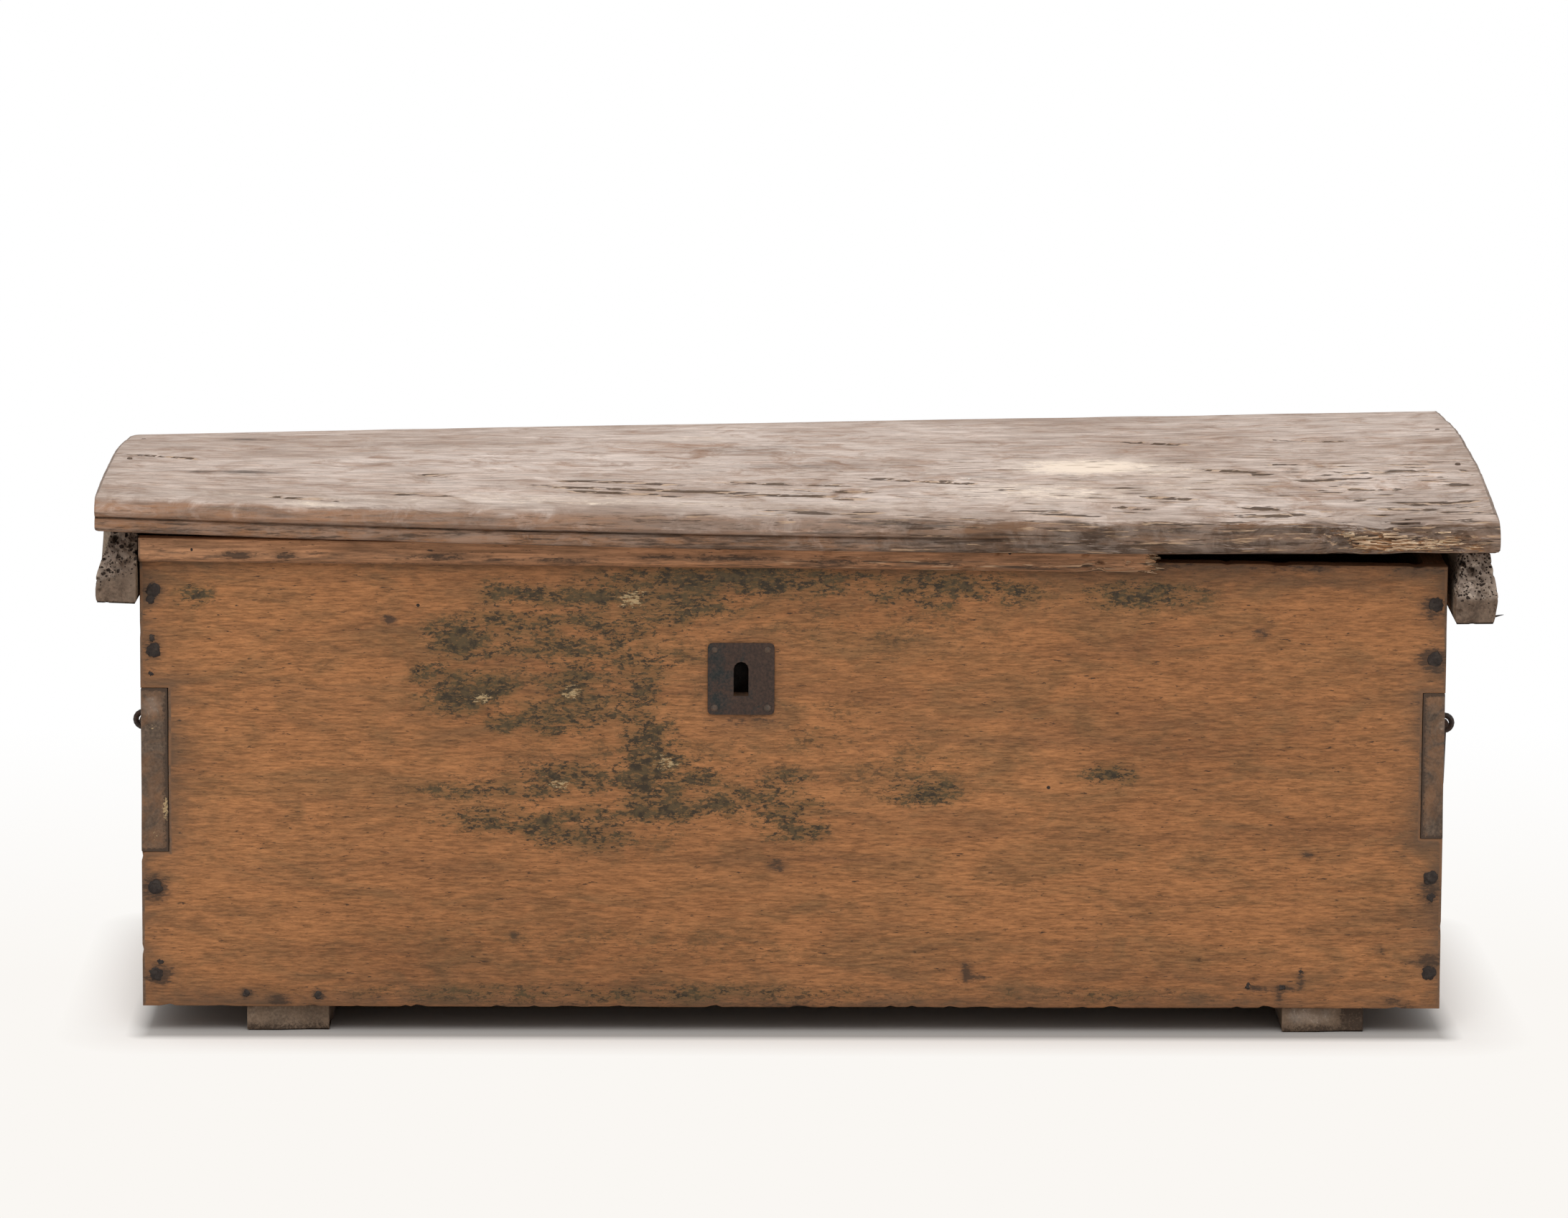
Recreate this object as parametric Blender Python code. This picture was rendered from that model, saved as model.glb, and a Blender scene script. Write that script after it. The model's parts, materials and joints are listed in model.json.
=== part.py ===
"""A nailed pine sea chest: tabbed boards, a warped plank lid on strap hinges, a lock, a till and handles.

Metres, +Z up. The front faces -Y and +X runs along the length. The origin is on the floor under the lid.
"""
import math

import bmesh
import bpy
from mathutils import Matrix, Vector

# Fits
FIT = 0.0003  # between pieces that touch
HEAD_FIT = 0.0006  # under a nail head on a face that may slope
PAST = 0.004  # how far a cutter runs past what it cuts

# Carcase boards. Heights are above the boards' lower edges, and no two corners of the rim are level.
LENGTH = 1.095
DEPTH = 0.460
BOARD = 0.022
LEFT_END = 0.023
RIGHT_END = 0.019
FRONT_HEIGHT_LEFT = 0.3905
FRONT_HEIGHT_RIGHT = 0.3775
BACK_HEIGHT_LEFT = 0.3965
BACK_HEIGHT_RIGHT = 0.4195
END_DROP = 0.001  # end boards stop this far below the lid at the back
LEFT_TAB_FOOT = 0.1325
LEFT_TAB_HEIGHT = 0.139
RIGHT_TAB_FOOT = 0.1462
RIGHT_TAB_HEIGHT = 0.124
BOTTOM = 0.020
BOTTOM_SEAM = 0.0006

# Runners under the bottom
RUNNER_WIDTH = 0.071
RUNNER_HEIGHT = 0.022
RUNNER_CHAMFER = 0.004
RUNNER_SETBACK = 0.008
LEFT_RUNNER_INSET = 0.123  # from the end of the chest to the runner's middle
RIGHT_RUNNER_INSET = 0.097

# Moulding along the top of the front, broken off towards the right
MOULDING_PROUD = 0.011
MOULDING_LIP = 0.0098  # how far it stands above the front board
MOULDING_HEIGHT_LEFT = 0.022
MOULDING_HEIGHT_BREAK = 0.019
MOULDING_RUN = 0.846
MOULDING_FLAT = 0.55  # share of the height that is flat before it rounds under
MOULDING_ARRIS = 0.002
MOULDING_STATIONS = 6
SPLINTER = 0.007
SPLINTER_TURN = 2.2  # radians from one point of the torn end to the next

# Lid plank: hollow below, crowned above, and bowed up at the ends of its front edge
LID_OVERHANG_LEFT = 0.0350
LID_OVERHANG_RIGHT = 0.0405
LID_OVERHANG_FRONT = 0.028
LID_OVERHANG_BACK = 0.017
LID_THICKNESS = 0.030
LID_HOLLOW = 0.008
LID_CROWN = 0.006  # top crown beyond the hollow
LID_BOW = 0.007
LID_STATIONS = 9
LID_STEPS = 10
NOSE_BAND = 0.0115  # height of the square band below the bead
NOSE_SET = 0.002  # how far the band sits behind the bead's front
NOSE_GROOVE = 0.004
NOSE_GROOVE_HEIGHT = 0.0025
BEAD_RUN = 0.018
BEAD_STEPS = 6
LID_BACK_ARRIS = 0.004

# Battens under the lid's ends, outside the chest
LEFT_BATTEN_CLEARANCE = 0.0015
RIGHT_BATTEN_CLEARANCE = 0.005
BATTEN_DROP = 0.061
BATTEN_NOSE_SETBACK = 0.006
BATTEN_NOSE = 0.024  # height of the square nose under the sloping end
BATTEN_SLOPE_RUN = 0.030
BATTEN_CHAMFER = 0.006
BATTEN_BACK_INSET = 0.012
BATTEN_STEPS = 8

# Strap hinges
HINGE_SPACING = 0.660
PIN_RADIUS = 0.003
IRON = 0.003  # forged strap thickness
MID_KNUCKLE = 0.016
SIDE_KNUCKLE = 0.010
KNUCKLE_PLAY = 0.0005
HINGE_GAP = 0.0008  # between a knuckle and the lid above it
STRAP_LENGTH = 0.240
STRAP_TIP_WIDTH = 0.020
STRAP_STATIONS = 9
STRAP_TIP_RUN = 0.016
LEAF_LENGTH = 0.105
LEAF_TIP_WIDTH = 0.022
PIN_HEAD = 0.002
PIN_HEAD_RADIUS = 0.0046
PIN_HEAD_TIP = 0.0032
EAR_RISE = 0.001  # leaf's ears above the pin's middle, inside the knuckles
ROUND_SIDES = 16

# Lock
LOCK_OFFSET = -0.0444  # keyhole's middle from the middle of the front
KEY_DROP = 0.1035  # keyhole's middle below the front's rim
KEYHOLE_WIDTH = 0.0124
KEYHOLE_HEIGHT = 0.029
KEYHOLE_STEPS = 6
PLATE_WIDTH = 0.056
PLATE_HEIGHT = 0.061
PLATE_THICKNESS = 0.002
PLATE_CORNER = 0.004
LOCK_WIDTH = 0.130
LOCK_HEIGHT = 0.140
LOCK_RIM_GAP = 0.0085  # lock's roof below the front's rim
LOCK_WALL = 0.0025
LOCK_FLANGE = 0.014
LOCK_FLANGE_HEIGHT = 0.090
TONGUE_THICKNESS = 0.006
TONGUE_WALL = 0.004
TONGUE_FRONT_ROOM = 0.0015  # slot to the front board
TONGUE_BACK_ROOM = 0.004  # tongue to the lock's back
TONGUE_EYE_PLAY = 0.001  # all round the bolt
SLOT_SIDE = 0.0035
SLOT_FRONT = 0.006  # room for the tongue's swing
SLOT_BACK = 0.0015
KEEPER_WIDTH = 0.060
KEEPER_DEPTH = 0.036
BOLT_HEIGHT = 0.008
BOLT_DEPTH = 0.006
BOLT_TAIL = 0.0045  # past the second guide rib
BOLT_DROP = 0.014  # bolt's middle below the lock's roof
BOLT_CLEAR = 0.0015  # from the tongue when drawn back
BOLT_TRAVEL = 0.014
RIB = 0.004
RIB_INSET = 0.007  # first guide rib from the tongue's face
RIB_DROP = 0.010  # rib below the bolt's middle
ARM_WIDTH = 0.008
ARM_GAP = 0.003  # arm to either rib at the ends of the bolt's travel
ARM_FOOT = 0.014
FOOT_HEIGHT = 0.010
FOOT_ABOVE_KEY = 0.004

# Till at the left end
TILL_WIDTH = 0.150
TILL_HEIGHT = 0.090
TILL_DROP = 0.030
TILL_BOARD = 0.012
TILL_HOUSING = 0.007

# Drop handles
HANDLE_HEIGHT = 0.216
HANDLE_SPAN = 0.116  # between the eyes' middles
BAIL_RADIUS = 0.0035
BAIL_DROP = 0.062
BAIL_TIP = 0.008  # past the eye's middle
BAIL_ARM_INSET = 0.011  # arm from the eye's middle
BAIL_GRIP_INSET = 0.016  # how far the arms draw in towards the grip
BAIL_BEND = 0.010
BAIL_BEND_STEPS = 5
EYE_PLAY = 0.0006
EYE_WIRE = 0.0025
EYE_GAP_LEFT = 0.0007  # eye to the end board
EYE_GAP_RIGHT = 0.0089
CLENCH = 0.020
EYE_SIDES = 8

# Forged nails
NAIL_SHANK = 0.004
NAIL_POINT = 0.0012
NAIL_HEAD = 0.009
NAIL_HEAD_EDGE = 0.0008
NAIL_HEAD_PEAK = 0.0012
NAIL_PEAK_WIDTH = 0.003
CORNER_NAIL = 0.055
HINGE_NAIL = 0.020
BATTEN_NAIL = 0.060
UPPER_NAILS_AT = (0.27, 0.70)  # shares of the board's height above the tab
LOWER_NAILS_AT = (0.21, 0.77)  # shares of its height below the tab
STRAP_NAILS_AT = (0.070, 0.170)  # along the strap from its pin
LEAF_NAILS_AT = (0.030, 0.072)
BATTEN_NAILS_AT = (0.35, 0.68)  # shares of the lid's depth

# What follows from the driving sizes
BODY_X = (LID_OVERHANG_LEFT - LID_OVERHANG_RIGHT) / 2
LEFT = BODY_X - LENGTH / 2
RIGHT = BODY_X + LENGTH / 2
LID_LEFT = LEFT - LID_OVERHANG_LEFT
LID_RIGHT = RIGHT + LID_OVERHANG_RIGHT
LID_DEPTH = DEPTH + LID_OVERHANG_FRONT + LID_OVERHANG_BACK
LID_FRONT_Y = -LID_DEPTH / 2
FRONT = LID_FRONT_Y + LID_OVERHANG_FRONT
BACK = FRONT + DEPTH
INNER_FRONT = FRONT + BOARD
INNER_BACK = BACK - BOARD
INNER_LEFT = LEFT + LEFT_END
INNER_RIGHT = RIGHT - RIGHT_END
BASE = RUNNER_HEIGHT + FIT
MOULDING_AT = LID_OVERHANG_FRONT - MOULDING_PROUD
BACK_AT = LID_OVERHANG_FRONT + DEPTH
KNUCKLE_RADIUS = PIN_RADIUS + FIT + IRON
HINGE_WIDTH = MID_KNUCKLE + 2 * (KNUCKLE_PLAY + SIDE_KNUCKLE)
MIDDLE_Y = (FRONT + BACK) / 2


def along(x):
    """Share of the chest's length, 0 at its left end and 1 at its right."""
    return (x - LEFT) / LENGTH


def front_rim(x):
    return BASE + FRONT_HEIGHT_LEFT + along(x) * (FRONT_HEIGHT_RIGHT - FRONT_HEIGHT_LEFT)


def back_rim(x):
    return BASE + BACK_HEIGHT_LEFT + along(x) * (BACK_HEIGHT_RIGHT - BACK_HEIGHT_LEFT)


LOCK_X = BODY_X + LOCK_OFFSET
KEY_Z = front_rim(LOCK_X) - KEY_DROP
LOCK_TOP = front_rim(LOCK_X) - LOCK_RIM_GAP
BOLT_Z = LOCK_TOP - LOCK_WALL - BOLT_DROP
TONGUE_WIDTH = BOLT_DEPTH + 2 * (TONGUE_EYE_PLAY + TONGUE_WALL)
TONGUE_Y = INNER_FRONT + TONGUE_FRONT_ROOM + SLOT_FRONT + TONGUE_WIDTH / 2
LOCK_BACK = TONGUE_Y + TONGUE_WIDTH / 2 + TONGUE_BACK_ROOM + LOCK_WALL
RIB_SPREAD = BOLT_TRAVEL + ARM_WIDTH + 2 * ARM_GAP
TILL_SIDE = INNER_LEFT + TILL_WIDTH
TILL_TOP = min(front_rim(INNER_LEFT), back_rim(INNER_LEFT)) - TILL_DROP
TILL_FLOOR = TILL_TOP - TILL_HEIGHT
EYE_RADIUS = BAIL_RADIUS + EYE_PLAY + EYE_WIRE  # to the middle of the wire
LEFT_PIVOT_X = LEFT - EYE_GAP_LEFT - EYE_WIRE - EYE_RADIUS
RIGHT_PIVOT_X = RIGHT + EYE_GAP_RIGHT + EYE_WIRE + EYE_RADIUS
HANDLE_Z = BASE + HANDLE_HEIGHT


def lid_seat(x, s):
    """Height of the winding surface that the lid is seated on, s behind the lid's front edge."""
    u = (s - MOULDING_AT) / (BACK_AT - MOULDING_AT)
    front = front_rim(x) + MOULDING_LIP + FIT
    back = back_rim(x) + FIT
    return front + (back - front) * u + 4 * LID_HOLLOW * u * (1 - u)


def lid_under(x, s):
    """The lid's underside: the seat, with the ends of the front edge bowed up."""
    u = (s - MOULDING_AT) / (BACK_AT - MOULDING_AT)
    return lid_seat(x, s) + LID_BOW * (x / LID_RIGHT) ** 2 * max(0.0, 1 - u)


def lid_top(x, s):
    t = s / LID_DEPTH
    return lid_under(x, s) + LID_THICKNESS + 4 * LID_CROWN * t * (1 - t)


def lid_point(x, s, above):
    """A point above (or below) the lid's underside."""
    return Vector((x, LID_FRONT_Y + s, lid_under(x, s) + above))


def spread(first, last, count):
    return [first + (last - first) * i / (count - 1) for i in range(count)]


# Blender helpers


def clear_scene():
    for thing in list(bpy.data.objects):
        bpy.data.objects.remove(thing, do_unlink=True)


def finish_of(name, colour, roughness, metallic=0.0):
    material = bpy.data.materials.new(name)
    material.use_nodes = True
    shader = material.node_tree.nodes["Principled BSDF"]
    shader.inputs["Base Color"].default_value = (*colour, 1.0)
    shader.inputs["Roughness"].default_value = roughness
    shader.inputs["Metallic"].default_value = metallic
    return material


def object_of(name, mesh, finish=None, smooth=False):
    """A named object, or a hidden cutter where no finish is given."""
    thing = bpy.data.objects.new(name, mesh)
    bpy.context.collection.objects.link(thing)
    if finish:
        mesh.materials.append(finish)
    else:
        thing.hide_render = True
        thing.display_type = "WIRE"
    if smooth:
        mesh.shade_smooth()
        mesh.set_sharp_from_angle(angle=math.radians(40))
    return thing


def mesh_of(name, shape):
    mesh = bpy.data.meshes.new(name)
    bmesh.ops.recalc_face_normals(shape, faces=shape.faces)
    shape.to_mesh(mesh)
    shape.free()
    return mesh


def add_loft(shape, rings, closed=False):
    """Skin a row of point rings that have equally many points, capping the ends unless the row closes."""
    rows = [[shape.verts.new(point) for point in ring] for ring in rings]
    pairs = list(zip(rows, rows[1:]))
    if closed:
        pairs.append((rows[-1], rows[0]))
    else:
        shape.faces.new(reversed(rows[0]))
        shape.faces.new(rows[-1])
    for low, high in pairs:
        for i in range(len(low)):
            j = (i + 1) % len(low)
            shape.faces.new((low[i], low[j], high[j], high[i]))


def loft(name, rings, finish=None, closed=False, smooth=False):
    shape = bmesh.new()
    add_loft(shape, rings, closed)
    return object_of(name, mesh_of(name, shape), finish, smooth)


def prism_rings(outline, low, high, axis):
    """Two copies of a flat outline: axis Y takes (x, z) points, X takes (y, z) and Z takes (x, y)."""
    place = {
        "X": lambda a, b, c: Vector((c, a, b)),
        "Y": lambda a, b, c: Vector((a, c, b)),
        "Z": lambda a, b, c: Vector((a, b, c)),
    }[axis]
    return [[place(a, b, c) for a, b in outline] for c in (low, high)]


def prism(name, outline, low, high, axis, finish=None):
    return loft(name, prism_rings(outline, low, high, axis), finish)


def rectangle(low_a, low_b, high_a, high_b):
    return [(low_a, low_b), (high_a, low_b), (high_a, high_b), (low_a, high_b)]


def block(name, low, high, finish=None):
    outline = rectangle(low[0], low[1], high[0], high[1])
    return prism(name, outline, low[2], high[2], "Z", finish)


def blocks(name, corners):
    """One cutter of several blocks that stay clear of each other."""
    shape = bmesh.new()
    for low, high in corners:
        outline = rectangle(low[0], low[1], high[0], high[1])
        add_loft(shape, prism_rings(outline, low[2], high[2], "Z"))
    return object_of(name, mesh_of(name, shape))


def combine(thing, tool, operation):
    modifier = thing.modifiers.new(tool.name, "BOOLEAN")
    modifier.operation = operation
    modifier.solver = "EXACT"
    modifier.object = tool


def circle(centre, first, second, radius, sides):
    turns = (2 * math.pi * i / sides for i in range(sides))
    return [centre + radius * (math.cos(turn) * first + math.sin(turn) * second) for turn in turns]


def add_tube(shape, start, end, inner, outer):
    """A short pipe between two points, as the loop of a knuckle."""
    axis = (end - start).normalized()
    first = axis.cross(Vector((0, 1, 0))).normalized()
    second = axis.cross(first)
    ends = ((start, outer), (end, outer), (end, inner), (start, inner))
    add_loft(shape, [circle(at, first, second, radius, ROUND_SIDES) for at, radius in ends], closed=True)


def turned(name, start, axis, profile, finish):
    """A turned piece from (distance along the axis, radius) pairs."""
    first = axis.cross(Vector((0, 1, 0))).normalized()
    second = axis.cross(first)
    rings = [circle(start + axis * at, first, second, radius, ROUND_SIDES) for at, radius in profile]
    return loft(name, rings, finish, smooth=True)


def pivot(name, at):
    empty = bpy.data.objects.new(name, None)
    empty.location = at
    bpy.context.collection.objects.link(empty)
    return empty


def hang(pieces, empty):
    """Parent pieces to the empty on their joint's axis without moving them."""
    for piece in pieces:
        piece.parent = empty
        piece.matrix_parent_inverse = Matrix.Translation(empty.location).inverted()


# Nails


def nail_ring(at, drive, side, width):
    other = drive.cross(side)
    half = width / 2
    return [at + half * (a * side + b * other) for a, b in ((1, 1), (-1, 1), (-1, -1), (1, -1))]


def forged_nail(name, seat, drive, length, finish):
    """A square tapered nail with a faceted head: seat is where its head bears, drive where it points."""
    side = Vector((1, 0, 0))
    under = seat - drive * HEAD_FIT
    rings = [
        nail_ring(seat + drive * length, drive, side, NAIL_POINT),
        nail_ring(under, drive, side, NAIL_SHANK),
        nail_ring(under, drive, side, NAIL_HEAD),
        nail_ring(under - drive * NAIL_HEAD_EDGE, drive, side, NAIL_HEAD),
        nail_ring(under - drive * (NAIL_HEAD_EDGE + NAIL_HEAD_PEAK), drive, side, NAIL_PEAK_WIDTH),
    ]
    return loft(name, rings, finish)


def nail_hole(seat, drive, length):
    """Low and high corners of the square hole that a nail stands in."""
    half = NAIL_SHANK / 2 + FIT
    ends = (seat - drive * PAST, seat + drive * (length + FIT))
    across = Vector([half * (1 - abs(d)) for d in drive])
    low = Vector([min(a, b) for a, b in zip(*ends)]) - across
    high = Vector([max(a, b) for a, b in zip(*ends)]) + across
    return low, high


# Carcase


def tab_heights(end):
    foot = LEFT_TAB_FOOT if end == "left" else RIGHT_TAB_FOOT
    height = LEFT_TAB_HEIGHT if end == "left" else RIGHT_TAB_HEIGHT
    return BASE + foot, BASE + foot + height


def long_board(name, outer, inner, rim, finish):
    """Front or back board, notched at both ends for the tabs. The rim gives its top at any (x, y)."""
    left_low, left_high = tab_heights("left")
    right_low, right_high = tab_heights("right")
    left_notch = INNER_LEFT + FIT
    right_notch = INNER_RIGHT - FIT

    def outline(y):
        points = [
            (LEFT, BASE),
            (RIGHT, BASE),
            (RIGHT, right_low - FIT),
            (right_notch, right_low - FIT),
            (right_notch, right_high + FIT),
            (RIGHT, right_high + FIT),
            *((x, rim(x, y)) for x in spread(RIGHT, LEFT, LID_STATIONS)),
            (LEFT, left_high + FIT),
            (left_notch, left_high + FIT),
            (left_notch, left_low - FIT),
            (LEFT, left_low - FIT),
        ]
        return [Vector((x, y, z)) for x, z in points]

    return loft(name, [outline(outer), outline(inner)], finish)


def end_board(end, finish):
    """An end board whose tabs come through the front and back boards."""
    low, high = tab_heights(end)
    faces = (LEFT, INNER_LEFT) if end == "left" else (INNER_RIGHT, RIGHT)
    front = INNER_FRONT + FIT
    back = INNER_BACK - FIT

    def outline(x):
        top_front = front_rim(x)
        top_back = lid_seat(x, back - LID_FRONT_Y) - FIT - END_DROP
        points = [
            (front, BASE), (back, BASE), (back, low), (BACK, low), (BACK, high), (back, high),
            (back, top_back), (front, top_front), (front, high), (FRONT, high), (FRONT, low), (front, low),
        ]
        return [Vector((x, y, z)) for y, z in points]

    return loft(f"{end}_end", [outline(x) for x in faces], finish)


def corner_nails():
    """Seat and direction of the nails that hold the long boards to the end boards, by name."""
    places = {}
    for end, x in (("left", LEFT + LEFT_END / 2), ("right", RIGHT - RIGHT_END / 2)):
        low, high = tab_heights(end)
        for board, y, drive, rim in (
            ("front", FRONT, Vector((0, 1, 0)), front_rim(x)),
            ("back", BACK, Vector((0, -1, 0)), back_rim(x)),
        ):
            heights = [BASE + (low - BASE) * share for share in LOWER_NAILS_AT]
            heights += [high + (rim - high) * share for share in UPPER_NAILS_AT]
            for number, z in enumerate(heights, 1):
                places[f"{board}_{end}_nail_{number}"] = (Vector((x, y, z)), drive)
    return places


def keyhole(grow):
    """An arched keyhole outline in (x, z)."""
    half = KEYHOLE_WIDTH / 2 + grow
    foot = KEY_Z - KEYHOLE_HEIGHT / 2 - grow
    spring = KEY_Z + KEYHOLE_HEIGHT / 2 - KEYHOLE_WIDTH / 2
    turns = spread(0.0, math.pi, KEYHOLE_STEPS + 1)
    arch = [(LOCK_X + half * math.cos(turn), spring + half * math.sin(turn)) for turn in turns]
    return [(LOCK_X - half, foot), (LOCK_X + half, foot), *arch]


def till_housing():
    """The stepped groove that both ends of the till are housed in, as (x, z) points."""
    floor = TILL_FLOOR - TILL_BOARD
    side = TILL_SIDE + TILL_BOARD
    return [
        (INNER_LEFT + FIT, floor - FIT),
        (side + FIT, floor - FIT),
        (side + FIT, TILL_TOP + FIT),
        (TILL_SIDE - FIT, TILL_TOP + FIT),
        (TILL_SIDE - FIT, TILL_FLOOR + FIT),
        (INNER_LEFT + FIT, TILL_FLOOR + FIT),
    ]


def build_carcase(pine, dark_pine, iron):
    front = long_board("front_board", FRONT, INNER_FRONT, lambda x, y: front_rim(x), pine)
    back = long_board("back_board", BACK, INNER_BACK, lambda x, y: lid_seat(x, y - LID_FRONT_Y) - FIT, pine)
    ends = {end: end_board(end, pine) for end in ("left", "right")}

    nails = corner_nails()
    for name, (seat, drive) in nails.items():
        forged_nail(name, seat, drive, CORNER_NAIL, iron)
    holes = {name: nail_hole(seat, drive, CORNER_NAIL) for name, (seat, drive) in nails.items()}
    words = {"front_": front, "back_": back, "_left_": ends["left"], "_right_": ends["right"]}
    for word, piece in words.items():
        own = [hole for name, hole in holes.items() if word in name]
        combine(piece, blocks(f"{piece.name}_nail_holes", own), "DIFFERENCE")

    combine(front, prism("keyhole_cut", keyhole(FIT), FRONT - PAST, INNER_FRONT + PAST, "Y"), "DIFFERENCE")
    for board, low, high in (
        (front, INNER_FRONT - TILL_HOUSING - FIT, INNER_FRONT + PAST),
        (back, INNER_BACK - PAST, INNER_BACK + TILL_HOUSING + FIT),
    ):
        combine(board, prism(f"{board.name}_till_housing", till_housing(), low, high, "Y"), "DIFFERENCE")

    seam = MIDDLE_Y
    left, right = INNER_LEFT + FIT, INNER_RIGHT - FIT
    for name, low, high in (
        ("bottom_front_plank", INNER_FRONT + FIT, seam - BOTTOM_SEAM / 2),
        ("bottom_back_plank", seam + BOTTOM_SEAM / 2, INNER_BACK - FIT),
    ):
        block(name, (left, low, BASE), (right, high, BASE + BOTTOM), dark_pine)

    middles = {"left_runner": LEFT + LEFT_RUNNER_INSET, "right_runner": RIGHT - RIGHT_RUNNER_INSET}
    for name, middle in middles.items():
        half = RUNNER_WIDTH / 2
        outline = [
            (middle - half + RUNNER_CHAMFER, 0.0),
            (middle + half - RUNNER_CHAMFER, 0.0),
            (middle + half, RUNNER_CHAMFER),
            (middle + half, RUNNER_HEIGHT),
            (middle - half, RUNNER_HEIGHT),
            (middle - half, RUNNER_CHAMFER),
        ]
        prism(name, outline, FRONT + RUNNER_SETBACK, BACK - RUNNER_SETBACK, "Y", dark_pine)
    return front, back, ends


def build_moulding(pine):
    """The bead along the front's top edge, rounded below and splintered where it broke."""

    def ring(x, part):
        height = MOULDING_HEIGHT_LEFT + (MOULDING_HEIGHT_BREAK - MOULDING_HEIGHT_LEFT) * part
        flat = height * MOULDING_FLAT
        turns = spread(0.0, math.pi / 2, BEAD_STEPS)
        profile = [(FIT, 0.0), (MOULDING_PROUD - MOULDING_ARRIS, 0.0), (MOULDING_PROUD, MOULDING_ARRIS)]
        profile += [
            (FIT + (MOULDING_PROUD - FIT) * math.cos(turn), flat + (height - flat) * math.sin(turn))
            for turn in turns
        ]
        points = []
        for number, (proud, down) in enumerate(profile):
            top = lid_seat(x, LID_OVERHANG_FRONT - proud) - FIT
            torn = SPLINTER * math.cos(SPLINTER_TURN * number) if part == 1 else 0.0
            points.append(Vector((x + torn, FRONT - proud, top - down)))
        return points

    stations = spread(0.0, 1.0, MOULDING_STATIONS)
    return loft("front_moulding", [ring(LEFT + MOULDING_RUN * part, part) for part in stations], pine)


# Lid


def lid_profile():
    """Lid section as (s, above) pairs, from the lower front corner round to the back's underside."""
    bead_foot = NOSE_BAND + NOSE_GROOVE_HEIGHT
    turns = spread(0.0, math.pi / 2, BEAD_STEPS)
    rise = LID_THICKNESS - bead_foot
    points = [
        (NOSE_SET, 0.0),
        (NOSE_SET, NOSE_BAND),
        (NOSE_SET + NOSE_GROOVE, NOSE_BAND + NOSE_GROOVE_HEIGHT / 2),
    ]
    points += [(BEAD_RUN * (1 - math.cos(turn)), bead_foot + rise * math.sin(turn)) for turn in turns]
    top = spread(BEAD_RUN, LID_DEPTH - LID_BACK_ARRIS, LID_STEPS)
    points += [(s, LID_THICKNESS) for s in top[1:]]
    points += [(LID_DEPTH, LID_THICKNESS - LID_BACK_ARRIS), (LID_DEPTH, 0.0)]
    under = spread(LID_DEPTH, NOSE_SET, LID_STEPS)
    points += [(s, 0.0) for s in under[1:-1]]
    return points


def lid_ring(x):
    """One section of the lid. The crown is shared out over the thickness, so the edge keeps its moulding."""
    ring = []
    for s, above in lid_profile():
        t = s / LID_DEPTH
        crown = 4 * LID_CROWN * t * (1 - t) * above / LID_THICKNESS
        ring.append(lid_point(x, s, above + crown))
    return ring


def batten_ring(x):
    """One face of a batten: arched to the lid above, straight below, with a sloping nose in front."""
    back = LID_DEPTH - BATTEN_BACK_INSET
    slope_top = BATTEN_NOSE_SETBACK + BATTEN_SLOPE_RUN
    nose_top = -BATTEN_DROP + BATTEN_NOSE
    foot = lid_under(x, MOULDING_AT)
    heel = lid_under(x, BACK_AT)

    def chord(s, below):
        u = (s - MOULDING_AT) / (BACK_AT - MOULDING_AT)
        return Vector((x, LID_FRONT_Y + s, foot + (heel - foot) * u + below))

    ring = [lid_point(x, s, -FIT) for s in spread(slope_top, back, BATTEN_STEPS)]
    ring += [
        chord(back, -BATTEN_DROP),
        chord(BATTEN_NOSE_SETBACK + BATTEN_CHAMFER, -BATTEN_DROP),
        chord(BATTEN_NOSE_SETBACK, -BATTEN_DROP + BATTEN_CHAMFER),
        chord(BATTEN_NOSE_SETBACK, nose_top),
    ]
    return ring


def build_lid(grey_pine, iron):
    lid = loft("lid_board", [lid_ring(x) for x in spread(LID_LEFT, LID_RIGHT, LID_STATIONS)], grey_pine)
    spans = {
        "left": (LID_LEFT, LEFT - LEFT_BATTEN_CLEARANCE),
        "right": (RIGHT + RIGHT_BATTEN_CLEARANCE, LID_RIGHT),
    }
    pieces = [lid]
    down = Vector((0, 0, -1))
    all_holes = []
    for end, span in spans.items():
        batten = loft(f"{end}_lid_batten", [batten_ring(x) for x in span], grey_pine)
        holes = []
        for number, share in enumerate(BATTEN_NAILS_AT, 1):
            x, s = sum(span) / 2, share * LID_DEPTH
            seat = Vector((x, LID_FRONT_Y + s, lid_top(x, s)))
            pieces.append(forged_nail(f"{end}_batten_nail_{number}", seat, down, BATTEN_NAIL, iron))
            holes.append(nail_hole(seat, down, BATTEN_NAIL))
        combine(batten, blocks(f"{end}_batten_nail_holes", holes), "DIFFERENCE")
        all_holes += holes
        pieces.append(batten)
    combine(lid, blocks("lid_nail_holes", all_holes), "DIFFERENCE")
    return lid, pieces


# Hinges


def hinge_point(x):
    """Point of the hinge axis: behind the back board and just under the lid."""
    y = BACK + 2 * FIT + KNUCKLE_RADIUS
    z = lid_under(x, y - LID_FRONT_Y) - HINGE_GAP - KNUCKLE_RADIUS
    return Vector((x, y, z))


def strap_half_width(run):
    """Half width of the lid strap, run along it from the pin: a narrow neck, then a long taper."""
    neck = KNUCKLE_RADIUS + KNUCKLE_PLAY
    if run <= neck:
        return MID_KNUCKLE / 2
    part = min(1.0, (run - neck) / (STRAP_LENGTH - STRAP_TIP_RUN - neck))
    return (HINGE_WIDTH + (STRAP_TIP_WIDTH - HINGE_WIDTH) * part) / 2


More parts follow.
